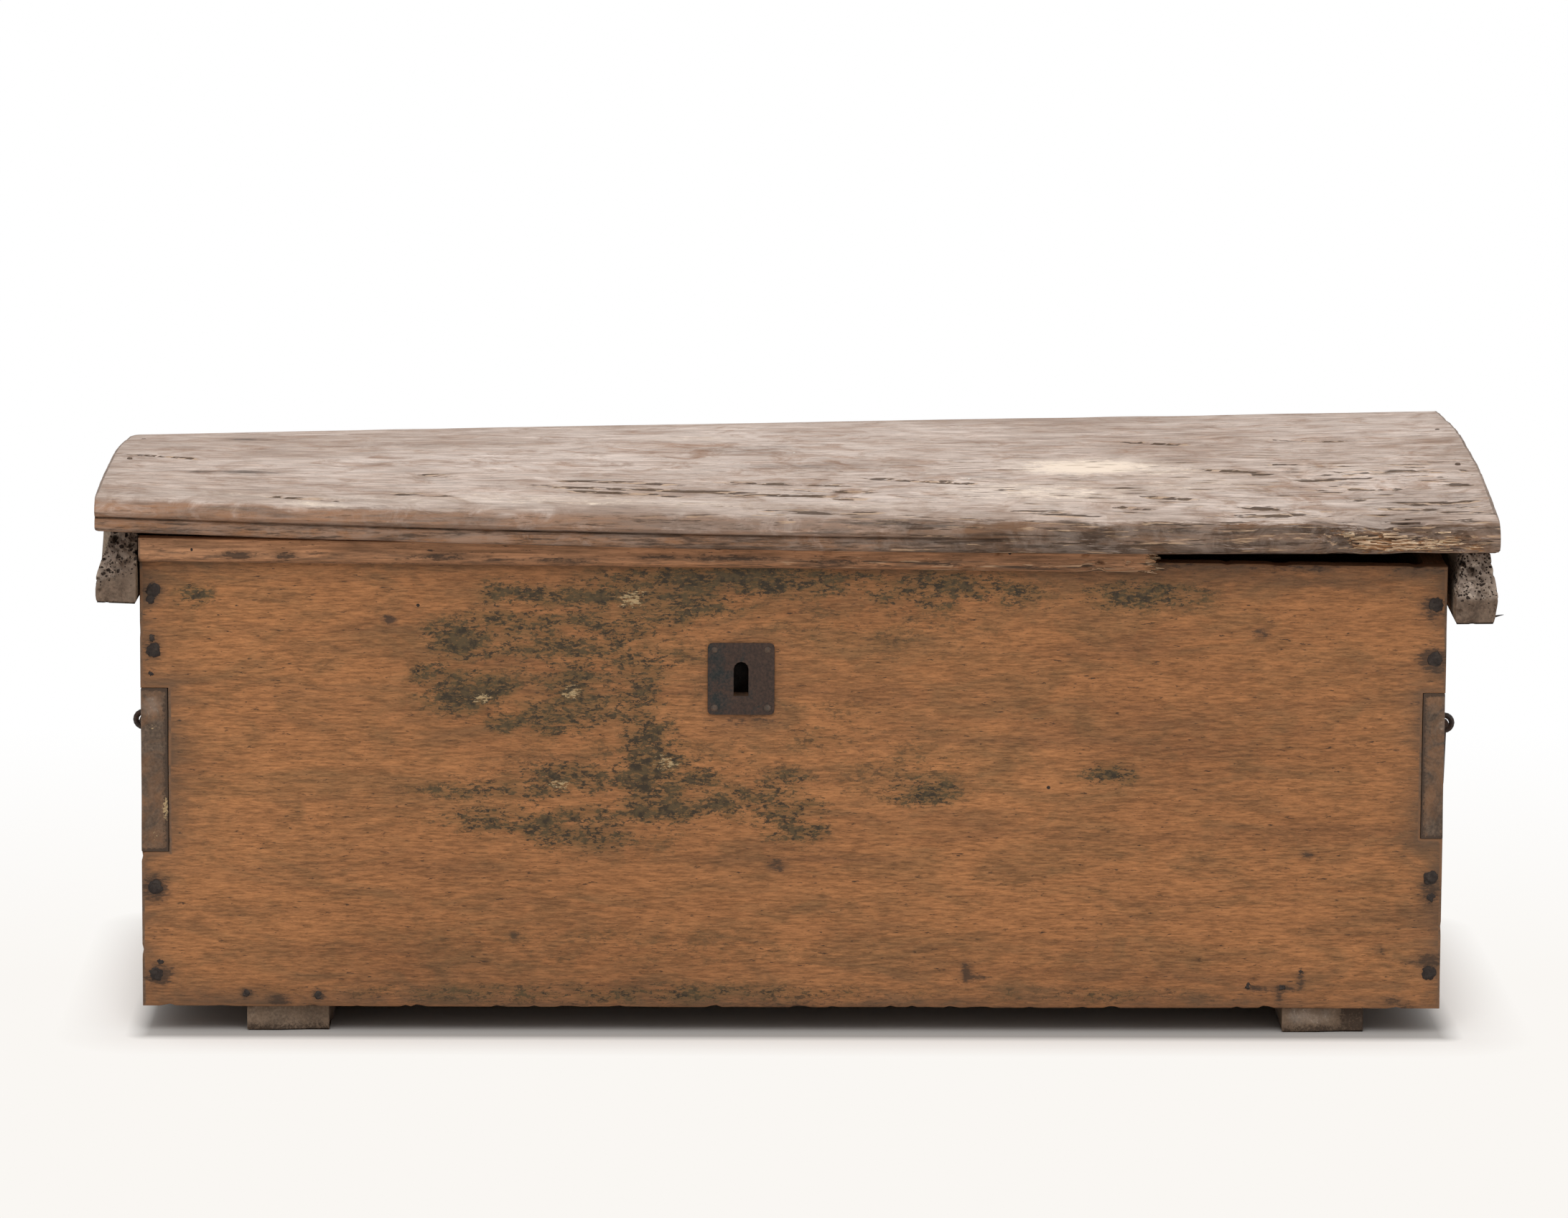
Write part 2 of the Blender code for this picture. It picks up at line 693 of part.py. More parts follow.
def lid_strap(name, centre, axis, finish):
    """The strap under the lid, with the knuckle that turns on the pin between the leaf's two."""
    s_pin = centre.y - LID_FRONT_Y
    neck = KNUCKLE_RADIUS + KNUCKLE_PLAY
    shoulder = neck + KNUCKLE_PLAY
    runs = [0.0, neck, *spread(shoulder, STRAP_LENGTH - STRAP_TIP_RUN, STRAP_STATIONS), STRAP_LENGTH]
    rings = []
    for run in runs:
        half = strap_half_width(run) if run < STRAP_LENGTH else STRAP_TIP_WIDTH / 4
        low, high = -FIT - IRON, -FIT
        corners = ((-half, high), (half, high), (half, low), (-half, low))
        rings.append([lid_point(centre.x + across, s_pin - run, above) for across, above in corners])
    strap = loft(name, rings, finish)
    shape = bmesh.new()
    half = axis * MID_KNUCKLE / 2
    add_tube(shape, centre - half, centre + half, PIN_RADIUS + FIT, KNUCKLE_RADIUS)
    combine(strap, object_of(f"{name}_knuckle", mesh_of(name, shape)), "UNION")
    return strap


def back_leaf(name, centre, axis, finish):
    """The leaf on the back board, with two ears that roll round the pin."""
    upward = axis.cross(Vector((0, 1, 0)))
    half = HINGE_WIDTH / 2
    inner = MID_KNUCKLE / 2 + KNUCKLE_PLAY
    clear = -KNUCKLE_RADIUS - KNUCKLE_PLAY
    wide, narrow = half - FIT, inner + FIT
    right_half = [
        (LEAF_TIP_WIDTH / 4, -LEAF_LENGTH),
        (LEAF_TIP_WIDTH / 2, -LEAF_LENGTH + STRAP_TIP_RUN),
        (wide, 2 * clear),
        (wide, EAR_RISE),
        (narrow, EAR_RISE),
        (narrow, clear),
    ]
    outline = right_half + [(-a, b) for a, b in reversed(right_half)]
    rings = []
    for y in (BACK + FIT, BACK + FIT + IRON):
        level = Vector((centre.x, y, centre.z))
        rings.append([level + axis * a + upward * b for a, b in outline])
    leaf = loft(name, rings, finish)
    shape = bmesh.new()
    for side in (-1, 1):
        start = centre + axis * side * inner
        add_tube(shape, start, start + axis * side * SIDE_KNUCKLE, PIN_RADIUS + FIT, KNUCKLE_RADIUS)
    combine(leaf, object_of(f"{name}_knuckles", mesh_of(name, shape)), "UNION")
    return leaf


def hinge_pin(name, centre, axis, finish):
    reach = HINGE_WIDTH / 2 + FIT
    profile = [
        (-reach - PIN_HEAD, PIN_HEAD_TIP),
        (-reach - PIN_HEAD / 2, PIN_HEAD_RADIUS),
        (-reach, PIN_HEAD_RADIUS),
        (-reach, PIN_RADIUS),
        (reach, PIN_RADIUS),
        (reach, PIN_HEAD_RADIUS),
        (reach + PIN_HEAD / 2, PIN_HEAD_RADIUS),
        (reach + PIN_HEAD, PIN_HEAD_TIP),
    ]
    return turned(name, centre, axis, profile, finish)


def build_hinges(back, lid, iron):
    """Both hinges, and the notches and nail holes that they need. Gives the pieces that move with the lid."""
    places = {"left": BODY_X - HINGE_SPACING / 2, "right": BODY_X + HINGE_SPACING / 2}
    axis = (hinge_point(places["right"]) - hinge_point(places["left"])).normalized()
    moving = []
    notches, back_holes, lid_holes = [], [], []
    for end, x in places.items():
        centre = hinge_point(x)
        strap = lid_strap(f"{end}_lid_strap", centre, axis, iron)
        leaf = back_leaf(f"{end}_back_leaf", centre, axis, iron)
        hinge_pin(f"{end}_hinge_pin", centre, axis, iron)
        moving.append(strap)

        half = HINGE_WIDTH / 2 + 2 * FIT
        edges = [lid_under(x + side, s) for side in (-half, half) for s in (BACK_AT - BOARD, BACK_AT)]
        floor = min(edges) - IRON - 3 * FIT
        notches.append(((x - half, INNER_BACK - PAST, floor), (x + half, BACK + PAST, max(edges) + PAST)))

        upward = Vector((0, 0, 1))
        holes = []
        for number, run in enumerate(STRAP_NAILS_AT, 1):
            s = centre.y - LID_FRONT_Y - run
            seat = lid_point(x, s, -FIT - IRON)
            moving.append(forged_nail(f"{end}_strap_nail_{number}", seat, upward, HINGE_NAIL, iron))
            holes.append(nail_hole(seat, upward, HINGE_NAIL))
        combine(strap, blocks(f"{end}_strap_nail_holes", holes), "DIFFERENCE")
        lid_holes += holes

        inward = Vector((0, -1, 0))
        holes = []
        for number, run in enumerate(LEAF_NAILS_AT, 1):
            seat = Vector((x, BACK + FIT + IRON, centre.z)) - axis.cross(Vector((0, 1, 0))) * run
            forged_nail(f"{end}_leaf_nail_{number}", seat, inward, HINGE_NAIL, iron)
            holes.append(nail_hole(seat, inward, HINGE_NAIL))
        combine(leaf, blocks(f"{end}_leaf_nail_holes", holes), "DIFFERENCE")
        back_holes += holes
    combine(back, blocks("hinge_notches", notches), "DIFFERENCE")
    combine(back, blocks("leaf_nail_holes", back_holes), "DIFFERENCE")
    combine(lid, blocks("strap_nail_holes", lid_holes), "DIFFERENCE")
    return moving


# Lock


def rounded_rectangle(middle, width, height, radius):
    """Outline with round corners in (x, z)."""
    points = []
    for quarter, (a, b) in enumerate(((1, 1), (-1, 1), (-1, -1), (1, -1))):
        centre_x = middle[0] + a * (width / 2 - radius)
        centre_z = middle[1] + b * (height / 2 - radius)
        turns = spread(quarter * math.pi / 2, (quarter + 1) * math.pi / 2, 4)
        points += [(centre_x + radius * math.cos(turn), centre_z + radius * math.sin(turn)) for turn in turns]
    return points


def build_lock(iron, rust):
    outline = rounded_rectangle((LOCK_X, KEY_Z), PLATE_WIDTH, PLATE_HEIGHT, PLATE_CORNER)
    outer = FRONT - FIT - PLATE_THICKNESS
    plate = prism("lock_plate", outline, outer, FRONT - FIT, "Y", rust)
    combine(plate, prism("plate_keyhole", keyhole(0.0), outer - PAST, FRONT + PAST, "Y"), "DIFFERENCE")

    seat = INNER_FRONT + FIT
    foot = LOCK_TOP - LOCK_HEIGHT
    half = LOCK_WIDTH / 2
    case = block("lock_case", (LOCK_X - half, seat, foot), (LOCK_X + half, LOCK_BACK, LOCK_TOP), iron)
    middle = (foot + LOCK_TOP) / 2
    ears = block(
        "lock_flange",
        (LOCK_X - half - LOCK_FLANGE, seat, middle - LOCK_FLANGE_HEIGHT / 2),
        (LOCK_X + half + LOCK_FLANGE, seat + LOCK_WALL, middle + LOCK_FLANGE_HEIGHT / 2),
    )
    combine(case, ears, "UNION")
    face = LOCK_X + TONGUE_THICKNESS / 2
    ribs = [face + RIB_INSET, face + RIB_INSET + RIB + RIB_SPREAD]
    roof = LOCK_TOP - LOCK_WALL
    rib_foot = BOLT_Z - RIB_DROP
    hollow = [(LOCK_X - half + LOCK_WALL, foot + LOCK_WALL), (LOCK_X + half - LOCK_WALL, foot + LOCK_WALL)]
    hollow.append((LOCK_X + half - LOCK_WALL, roof))
    for rib in reversed(ribs):
        hollow += [(rib + RIB, roof), (rib + RIB, rib_foot), (rib, rib_foot), (rib, roof)]
    hollow.append((LOCK_X - half + LOCK_WALL, roof))
    cavity = prism("lock_hollow", hollow, seat - PAST, LOCK_BACK - LOCK_WALL, "Y")
    combine(case, cavity, "DIFFERENCE")
    bar = (BOLT_DEPTH / 2 + FIT, BOLT_HEIGHT / 2 + FIT)
    tunnel = block(
        "bolt_tunnel",
        (ribs[0] - FIT, TONGUE_Y - bar[0], BOLT_Z - bar[1]),
        (ribs[1] + RIB + FIT, TONGUE_Y + bar[0], BOLT_Z + bar[1]),
    )
    combine(case, tunnel, "DIFFERENCE")
    slot = block(
        "tongue_slot",
        (LOCK_X - TONGUE_THICKNESS / 2 - SLOT_SIDE, TONGUE_Y - TONGUE_WIDTH / 2 - SLOT_FRONT, roof - FIT),
        (face + SLOT_SIDE, TONGUE_Y + TONGUE_WIDTH / 2 + SLOT_BACK, LOCK_TOP + PAST),
    )
    combine(case, slot, "DIFFERENCE")

    tip = face + BOLT_CLEAR
    tail = ribs[1] + RIB + BOLT_TAIL
    arm = ribs[0] + RIB + ARM_GAP + BOLT_TRAVEL
    key_top = KEY_Z + KEYHOLE_HEIGHT / 2 + FOOT_ABOVE_KEY
    outline = [
        (tip, BOLT_Z - BOLT_HEIGHT / 2),
        (arm, BOLT_Z - BOLT_HEIGHT / 2),
        (arm, key_top + FOOT_HEIGHT),
        (arm - ARM_FOOT, key_top + FOOT_HEIGHT),
        (arm - ARM_FOOT, key_top),
        (arm + ARM_WIDTH, key_top),
        (arm + ARM_WIDTH, BOLT_Z - BOLT_HEIGHT / 2),
        (tail, BOLT_Z - BOLT_HEIGHT / 2),
        (tail, BOLT_Z + BOLT_HEIGHT / 2),
        (tip, BOLT_Z + BOLT_HEIGHT / 2),
    ]
    return prism("lock_bolt", outline, TONGUE_Y - BOLT_DEPTH / 2, TONGUE_Y + BOLT_DEPTH / 2, "Y", iron)


def build_keeper(iron):
    """The plate under the lid with the eyed tongue that drops into the lock."""
    s_tongue = TONGUE_Y - LID_FRONT_Y
    rings = []
    for s in (s_tongue - KEEPER_DEPTH / 2, s_tongue + KEEPER_DEPTH / 2):
        corners = ((-1, -FIT), (1, -FIT), (1, -FIT - IRON), (-1, -FIT - IRON))
        rings.append([lid_point(LOCK_X + a * KEEPER_WIDTH / 2, s, above) for a, above in corners])
    keeper = loft("lid_keeper", rings, iron)
    eye_y = BOLT_DEPTH / 2 + TONGUE_EYE_PLAY
    eye_z = BOLT_HEIGHT / 2 + TONGUE_EYE_PLAY
    root = lid_under(LOCK_X, s_tongue) - FIT - IRON / 2
    tongue = block(
        "keeper_tongue",
        (LOCK_X - TONGUE_THICKNESS / 2, TONGUE_Y - TONGUE_WIDTH / 2, BOLT_Z - eye_z - TONGUE_WALL),
        (LOCK_X + TONGUE_THICKNESS / 2, TONGUE_Y + TONGUE_WIDTH / 2, root),
    )
    combine(keeper, tongue, "UNION")
    eye = block(
        "keeper_eye",
        (LOCK_X - TONGUE_THICKNESS, TONGUE_Y - eye_y, BOLT_Z - eye_z),
        (LOCK_X + TONGUE_THICKNESS, TONGUE_Y + eye_y, BOLT_Z + eye_z),
    )
    combine(keeper, eye, "DIFFERENCE")
    return keeper


def build_till(dark_pine):
    front = INNER_FRONT - TILL_HOUSING
    back = INNER_BACK + TILL_HOUSING
    floor = TILL_FLOOR - TILL_BOARD
    side = TILL_SIDE + TILL_BOARD
    block("till_side", (TILL_SIDE, front, TILL_FLOOR + FIT), (side, back, TILL_TOP), dark_pine)
    block("till_floor", (INNER_LEFT + 2 * FIT, front, floor), (side, back, TILL_FLOOR), dark_pine)


# Handles


def rounded_path(corners, radius, steps):
    """Points of a path with each inner corner rounded."""
    path = [corners[0]]
    for before, corner, after in zip(corners, corners[1:], corners[2:]):
        into = (before - corner).normalized()
        out = (after - corner).normalized()
        half = into.angle(out) / 2
        cut = radius / math.tan(half)
        centre = corner + (into + out).normalized() * radius / math.sin(half)
        start = (corner + into * cut - centre).normalized()
        end = (corner + out * cut - centre).normalized()
        path += [centre + radius * start.slerp(end, part) for part in spread(0.0, 1.0, steps)]
    return [*path, corners[-1]]


def build_handle(end, face, inner, x, ends, iron):
    """A bail that swings at x in two eyes, which are driven through the end board and clenched inside."""
    outward = -1 if end == "left" else 1
    half = NAIL_SHANK / 2 + EYE_WIRE / 4
    holes = []
    for place, side in (("front", -1), ("back", 1)):
        y = MIDDLE_Y + side * HANDLE_SPAN / 2
        centre = Vector((x, y, HANDLE_Z))
        rings = []
        for i in range(ROUND_SIDES):
            turn = 2 * math.pi * i / ROUND_SIDES
            out = Vector((math.cos(turn), 0, math.sin(turn)))
            rings.append(circle(centre + EYE_RADIUS * out, out, Vector((0, 1, 0)), EYE_WIRE, EYE_SIDES))
        eye = loft(f"{end}_{place}_eye", rings, iron, closed=True, smooth=True)
        inside = inner - outward * FIT
        root = x - outward * EYE_RADIUS
        outline = [
            (root, HANDLE_Z - half),
            (root, HANDLE_Z + half),
            (inside - outward * 2 * half, HANDLE_Z + half),
            (inside - outward * 2 * half, HANDLE_Z - CLENCH),
            (inside, HANDLE_Z - CLENCH),
            (inside, HANDLE_Z - half),
        ]
        shank = prism(f"{end}_{place}_shank", outline, y - half, y + half, "Y")
        combine(eye, shank, "UNION")
        grow = half + FIT
        low_x, high_x = min(face, inner) - PAST, max(face, inner) + PAST
        holes.append(((low_x, y - grow, HANDLE_Z - grow), (high_x, y + grow, HANDLE_Z + grow)))
    combine(ends[end], blocks(f"{end}_eye_holes", holes), "DIFFERENCE")

    arm = HANDLE_SPAN / 2 - BAIL_ARM_INSET
    corners = [
        Vector((0, -HANDLE_SPAN / 2 - BAIL_TIP, 0)),
        Vector((0, -arm, 0)),
        Vector((0, -arm + BAIL_GRIP_INSET, -BAIL_DROP)),
        Vector((0, arm - BAIL_GRIP_INSET, -BAIL_DROP)),
        Vector((0, arm, 0)),
        Vector((0, HANDLE_SPAN / 2 + BAIL_TIP, 0)),
    ]
    path = rounded_path(corners, BAIL_BEND, BAIL_BEND_STEPS)
    curve = bpy.data.curves.new(f"{end}_bail", "CURVE")
    curve.dimensions = "3D"
    curve.bevel_depth = BAIL_RADIUS
    curve.bevel_resolution = 2
    curve.use_fill_caps = True
    spline = curve.splines.new("POLY")
    spline.points.add(len(path) - 1)
    for point, at in zip(spline.points, path):
        point.co = (*at, 1.0)
    curve.materials.append(iron)
    bail = bpy.data.objects.new(f"{end}_bail", curve)
    bail.location = (x, MIDDLE_Y, HANDLE_Z)
    bpy.context.collection.objects.link(bail)


def main():
    clear_scene()
    pine = finish_of("warm pine", (0.30, 0.13, 0.055), 0.7)
    dark_pine = finish_of("dark pine", (0.12, 0.08, 0.05), 0.85)
    grey_pine = finish_of("weathered pine", (0.25, 0.19, 0.15), 0.85)
    iron = finish_of("forged iron", (0.035, 0.030, 0.028), 0.6, 0.9)
    rust = finish_of("rusted lock plate", (0.07, 0.055, 0.05), 0.65, 0.8)

    front, back, ends = build_carcase(pine, dark_pine, iron)
    build_moulding(pine)
    lid, lid_pieces = build_lid(grey_pine, iron)
    lid_pieces += build_hinges(back, lid, iron)
    bolt = build_lock(iron, rust)
    lid_pieces.append(build_keeper(iron))
    build_till(dark_pine)
    build_handle("left", LEFT, INNER_LEFT, LEFT_PIVOT_X, ends, iron)
    build_handle("right", RIGHT, INNER_RIGHT, RIGHT_PIVOT_X, ends, iron)

    hang(lid_pieces, pivot("lid_pivot", hinge_point(BODY_X)))
    hang([bolt], pivot("bolt_guide", Vector((LOCK_X, TONGUE_Y, BOLT_Z))))


main()
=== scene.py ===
# %% [markdown]
# # An old pine sea chest, dressed around its solid parts
#
# The solids give every piece its size, its place and the body that it moves with. This script gives the
# looks: worn arrises, checked and worm-eaten wood, remnants of paint, rust, and the view and light of the
# reference picture. Each step is a cell, and the text before it says what the piece is on the real chest
# and why it is made this way.

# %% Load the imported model
import itertools
import json
import math

import bmesh
import bpy
import numpy as np
from mathutils import Matrix, Vector
from mathutils.kdtree import KDTree

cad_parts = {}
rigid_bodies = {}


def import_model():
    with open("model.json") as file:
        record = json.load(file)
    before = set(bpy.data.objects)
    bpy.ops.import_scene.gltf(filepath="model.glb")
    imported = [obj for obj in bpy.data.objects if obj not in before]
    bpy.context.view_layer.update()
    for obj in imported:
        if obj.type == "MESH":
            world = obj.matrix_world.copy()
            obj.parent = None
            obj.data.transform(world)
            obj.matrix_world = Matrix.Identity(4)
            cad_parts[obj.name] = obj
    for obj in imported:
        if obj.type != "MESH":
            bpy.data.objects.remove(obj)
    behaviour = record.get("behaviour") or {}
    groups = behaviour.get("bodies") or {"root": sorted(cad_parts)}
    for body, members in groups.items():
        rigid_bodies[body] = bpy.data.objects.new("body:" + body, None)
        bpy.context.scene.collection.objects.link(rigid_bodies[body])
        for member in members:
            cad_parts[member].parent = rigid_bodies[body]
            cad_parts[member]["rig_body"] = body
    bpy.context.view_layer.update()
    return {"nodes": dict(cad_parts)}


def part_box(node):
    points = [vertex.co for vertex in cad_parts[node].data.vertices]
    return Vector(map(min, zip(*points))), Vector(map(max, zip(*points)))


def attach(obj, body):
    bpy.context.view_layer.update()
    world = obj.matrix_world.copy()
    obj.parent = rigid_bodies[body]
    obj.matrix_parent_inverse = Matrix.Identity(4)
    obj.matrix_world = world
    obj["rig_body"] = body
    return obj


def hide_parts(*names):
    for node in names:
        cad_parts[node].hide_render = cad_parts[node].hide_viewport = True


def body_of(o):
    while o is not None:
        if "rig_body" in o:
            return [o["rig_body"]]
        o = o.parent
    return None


for leftover in list(bpy.data.objects):
    bpy.data.objects.remove(leftover, do_unlink=True)
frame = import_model()

# %% [markdown]
# ## Sizes that the solids already hold
#
# A size that can be read from the frame is read from it, so the looks follow the solids if they change. The
# few that can't, such as the lid's hollow, are written again under the names that the solids' own source
# uses.

# %% Read the carcase and the lid from the frame
NEAR = 0.0002


def corner_height(node, x, y):
    """Height of a solid's highest corner at a place seen from above."""
    corners = (vertex.co for vertex in frame["nodes"][node].data.vertices)
    return max(c.z for c in corners if abs(c.x - x) < NEAR and abs(c.y - y) < NEAR)


def tab_span(node, y):
    """Lowest and highest point of an end board's tab, at the face y."""
    heights = [v.co.z for v in frame["nodes"][node].data.vertices if abs(v.co.y - y) < NEAR]
    return min(heights), max(heights)


LEFT, FRONT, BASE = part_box("front_board")[0]
RIGHT, INNER_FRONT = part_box("front_board")[1].xy
INNER_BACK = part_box("back_board")[0].y
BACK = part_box("back_board")[1].y
INNER_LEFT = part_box("left_end")[1].x
INNER_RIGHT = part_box("right_end")[0].x
LID_LEFT, LID_FRONT_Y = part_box("lid_board")[0].xy
LID_RIGHT, LID_BACK_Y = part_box("lid_board")[1].xy
LID_DEPTH = LID_BACK_Y - LID_FRONT_Y
LEFT_TAB = tab_span("left_end", FRONT)
RIGHT_TAB = tab_span("right_end", FRONT)
RIM = {
    "front": (corner_height("front_board", LEFT, FRONT), corner_height("front_board", RIGHT, FRONT)),
    "back": (corner_height("back_board", LEFT, BACK), corner_height("back_board", RIGHT, BACK)),
}
FIT = 0.0003
LID_THICKNESS = 0.030
LID_HOLLOW = 0.008
LID_CROWN = 0.006
LID_BOW = 0.007
MOULDING_LIP = 0.0098
MOULDING_PROUD = 0.011
MOULDING_AT = FRONT - LID_FRONT_Y - MOULDING_PROUD
BACK_AT = BACK - LID_FRONT_Y
print("rims:", RIM, "tabs:", LEFT_TAB, RIGHT_TAB)

# %% [markdown]
# ## The winding surface
#
# No two corners of the chest are level, and the lid lies on all four. A flat lid would leave gaps, so the
# moulding, the back board, the lid and its battens all take their heights from one surface. It hollows from
# front to back and bows at its front corners, as the cupped plank does.


# %% The surface that the lid lies on
def rim(side, x):
    """Height of the front or back rim: no two corners of the chest are level."""
    left, right = RIM[side]
    return left + (right - left) * (x - LEFT) / (RIGHT - LEFT)


def lid_seat(x, s):
    """Height of the lid's seat, s behind the lid's front edge."""
    u = (s - MOULDING_AT) / (BACK_AT - MOULDING_AT)
    front = rim("front", x) + MOULDING_LIP + FIT
    back = rim("back", x) + FIT
    return front + (back - front) * u + 4 * LID_HOLLOW * u * (1 - u)


def lid_under(x, s):
    """The lid's underside, with the ends of its front edge bowed up."""
    u = (s - MOULDING_AT) / (BACK_AT - MOULDING_AT)
    return lid_seat(x, s) + LID_BOW * (x / LID_RIGHT) ** 2 * np.maximum(0.0, 1 - u)


print("lid's underside at its front corners:", [round(lid_under(x, 0.0), 4) for x in (LID_LEFT, LID_RIGHT)])

# %% [markdown]
# ## Tools for worn wood
#
# Old boards differ from new ones at their edges: arrises are rubbed round, chips are gone, the faces ripple.
# A bevel modifier wears every edge alike, so each board is instead a skin over a lattice of grid lines. The
# lattice knows which of its points lie on an edge and can pull each one in by its own amount. Wear only ever
# takes wood away, so a worn piece stays inside its solid and meets its neighbours as the solid does.

# %% Repeatable noise that can be streaky
HASH_STEPS = (73856093, 19349663, 83492791)
SEED_STEP = 2654435761
HASH_ROUNDS = ((13, 1274126177), (15, 2246822519))
WORD = 0xFFFFFFFF
HALF_WORD = 0xFFFF
HALF_BITS = 16


def hashed(cell, seed):
    """A repeatable number from 0 to 1 for each whole-number cell."""
    mixed = (cell * HASH_STEPS).sum(-1) + seed * SEED_STEP
    for shift, factor in HASH_ROUNDS:
        mixed = (mixed ^ (mixed >> shift)) * factor & WORD
    return ((mixed ^ (mixed >> HALF_BITS)) & HALF_WORD) / HALF_WORD


def ripple(points, size, seed=0):
    """Smooth noise from -1 to 1. Size gives its length along each axis, so it can run with the grain."""
    scaled = points / np.asarray(size, float)
    cell = np.floor(scaled).astype(np.int64)
    part = scaled - cell
    ease = part * part * (3 - 2 * part)
    total = np.zeros(points.shape[:-1])
    for corner in itertools.product((0, 1), repeat=3):
        weight = np.where(np.array(corner, bool), ease, 1 - ease).prod(-1)
        total += weight * hashed(cell + np.array(corner), seed)
    return 2 * total - 1


def smooth(low, high, value):
    """0 below low, 1 above high, and a soft step between."""
    part = np.clip((value - low) / (high - low), 0.0, 1.0)
    return part * part * (3 - 2 * part)


def ovals(a, b, places):
    """Strongest of some soft ovals. A place is (a, b, half length, half height, strength)."""
    total = np.zeros(np.broadcast(a, b).shape)
    for at_a, at_b, long, high, strength in places:
        total = np.maximum(total, strength * np.exp(-((a - at_a) / long) ** 2 - ((b - at_b) / high) ** 2))
    return total


def on_face(u, v):
    """Places on a face as points, so that noise can be read there."""
    return np.stack([u, v, np.zeros_like(u)], -1)


print("noise at one place:", round(float(ripple(np.full(3, 0.5), (1.0, 1.0, 1.0))), 4))

# %% [markdown]
# ## A board as a lattice
#
# A lattice has grid lines along a board, across it and through it. Cells that are notches or holes are left
# out, and the skin goes round those that stay. Lines lie close together beside every edge, because that is
# where the wear is, and wide apart on the plain faces.

# %% The skin of a worn lattice
ROOM_TO_HUG = 4
FIRST_LAYER = 0.3
CELLS_AT_A_POINT = 4
WEAR_MEAN, WEAR_SWING = 0.62, 0.38
WEAR_PATCH = (0.05, 0.05, 0.05)
DEEP_CUT = 0.006


def lines(breaks, step, hug=0.004):
    """Grid lines that hit each break, with one close to it on either side and even steps between."""
    stops = sorted(set(breaks))
    found = []
    for low, high in zip(stops, stops[1:]):
        roomy = high - low > ROOM_TO_HUG * hug
        ends = [low, low + hug, high - hug, high] if roomy else [low, high]
        for a, b in zip(ends, ends[1:]):
            found += list(np.linspace(a, b, max(1, round((b - a) / step)) + 1)[:-1])
    return np.array([*found, stops[-1]])


def layers(thickness, wear, inner=1):
    """Lines through a board's thickness, close together where its arrises are rubbed round."""
    inside = np.linspace(wear, thickness - wear, inner + 1)
    first = FIRST_LAYER * wear
    return np.array([0.0, first, *inside, thickness - first, thickness])


def skin(wood, index):
    """Quads round the wood cells of a lattice whose points are numbered by index: faces, then walls."""
    top = index.shape[2] - 1
    i, j = np.nonzero(wood)
    low_face = [index[i, j, 0], index[i, j + 1, 0], index[i + 1, j + 1, 0], index[i + 1, j, 0]]
    high_face = [index[i, j, top], index[i + 1, j, top], index[i + 1, j + 1, top], index[i, j + 1, top]]
    quads = [np.stack(low_face, 1), np.stack(high_face, 1)]
    padded = np.pad(wood, 1).astype(int)
    across_u = padded[1:, 1:-1] - padded[:-1, 1:-1]
    across_v = padded[1:-1, 1:] - padded[1:-1, :-1]
    for sign, k in itertools.product((1, -1), range(top)):
        i, j = np.nonzero(across_u == sign)
        wall = [index[i, j, k], index[i, j, k + 1], index[i, j + 1, k + 1], index[i, j + 1, k]]
        quads.append(np.stack(wall, 1)[:, ::sign])
        i, j = np.nonzero(across_v == sign)
        wall = [index[i, j, k], index[i + 1, j, k], index[i + 1, j, k + 1], index[i, j, k + 1]]
        quads.append(np.stack(wall, 1)[:, ::sign])
    return np.concatenate(quads)


def rim_of(wood):
    """Which grid points lie on the wood's outline, and which way is inward there, along u and along v."""
    padded = np.pad(wood, 1).astype(int)
    here, beside, below, across = padded[:-1, :-1], padded[:-1, 1:], padded[1:, :-1], padded[1:, 1:]
    filled = here + beside + below + across
    on_rim = (filled > 0) & (filled < CELLS_AT_A_POINT)
    inward_u = np.sign(below + across - here - beside) * on_rim
    inward_v = np.sign(beside + across - here - below) * on_rim
    return on_rim, inward_u, inward_v


def rubbed_round(u, v, w, thickness, wear, seed):
    """How far an arris is pulled in: a quarter round whose radius changes along the board."""
    radius = wear * (WEAR_MEAN + WEAR_SWING * ripple(np.stack([u, v, w], -1), WEAR_PATCH, seed))
    depth = np.minimum(w, thickness - w)
    inside = np.clip(radius - depth, 0.0, None)
    return radius - np.sqrt(np.clip(radius ** 2 - inside ** 2, 0.0, None))


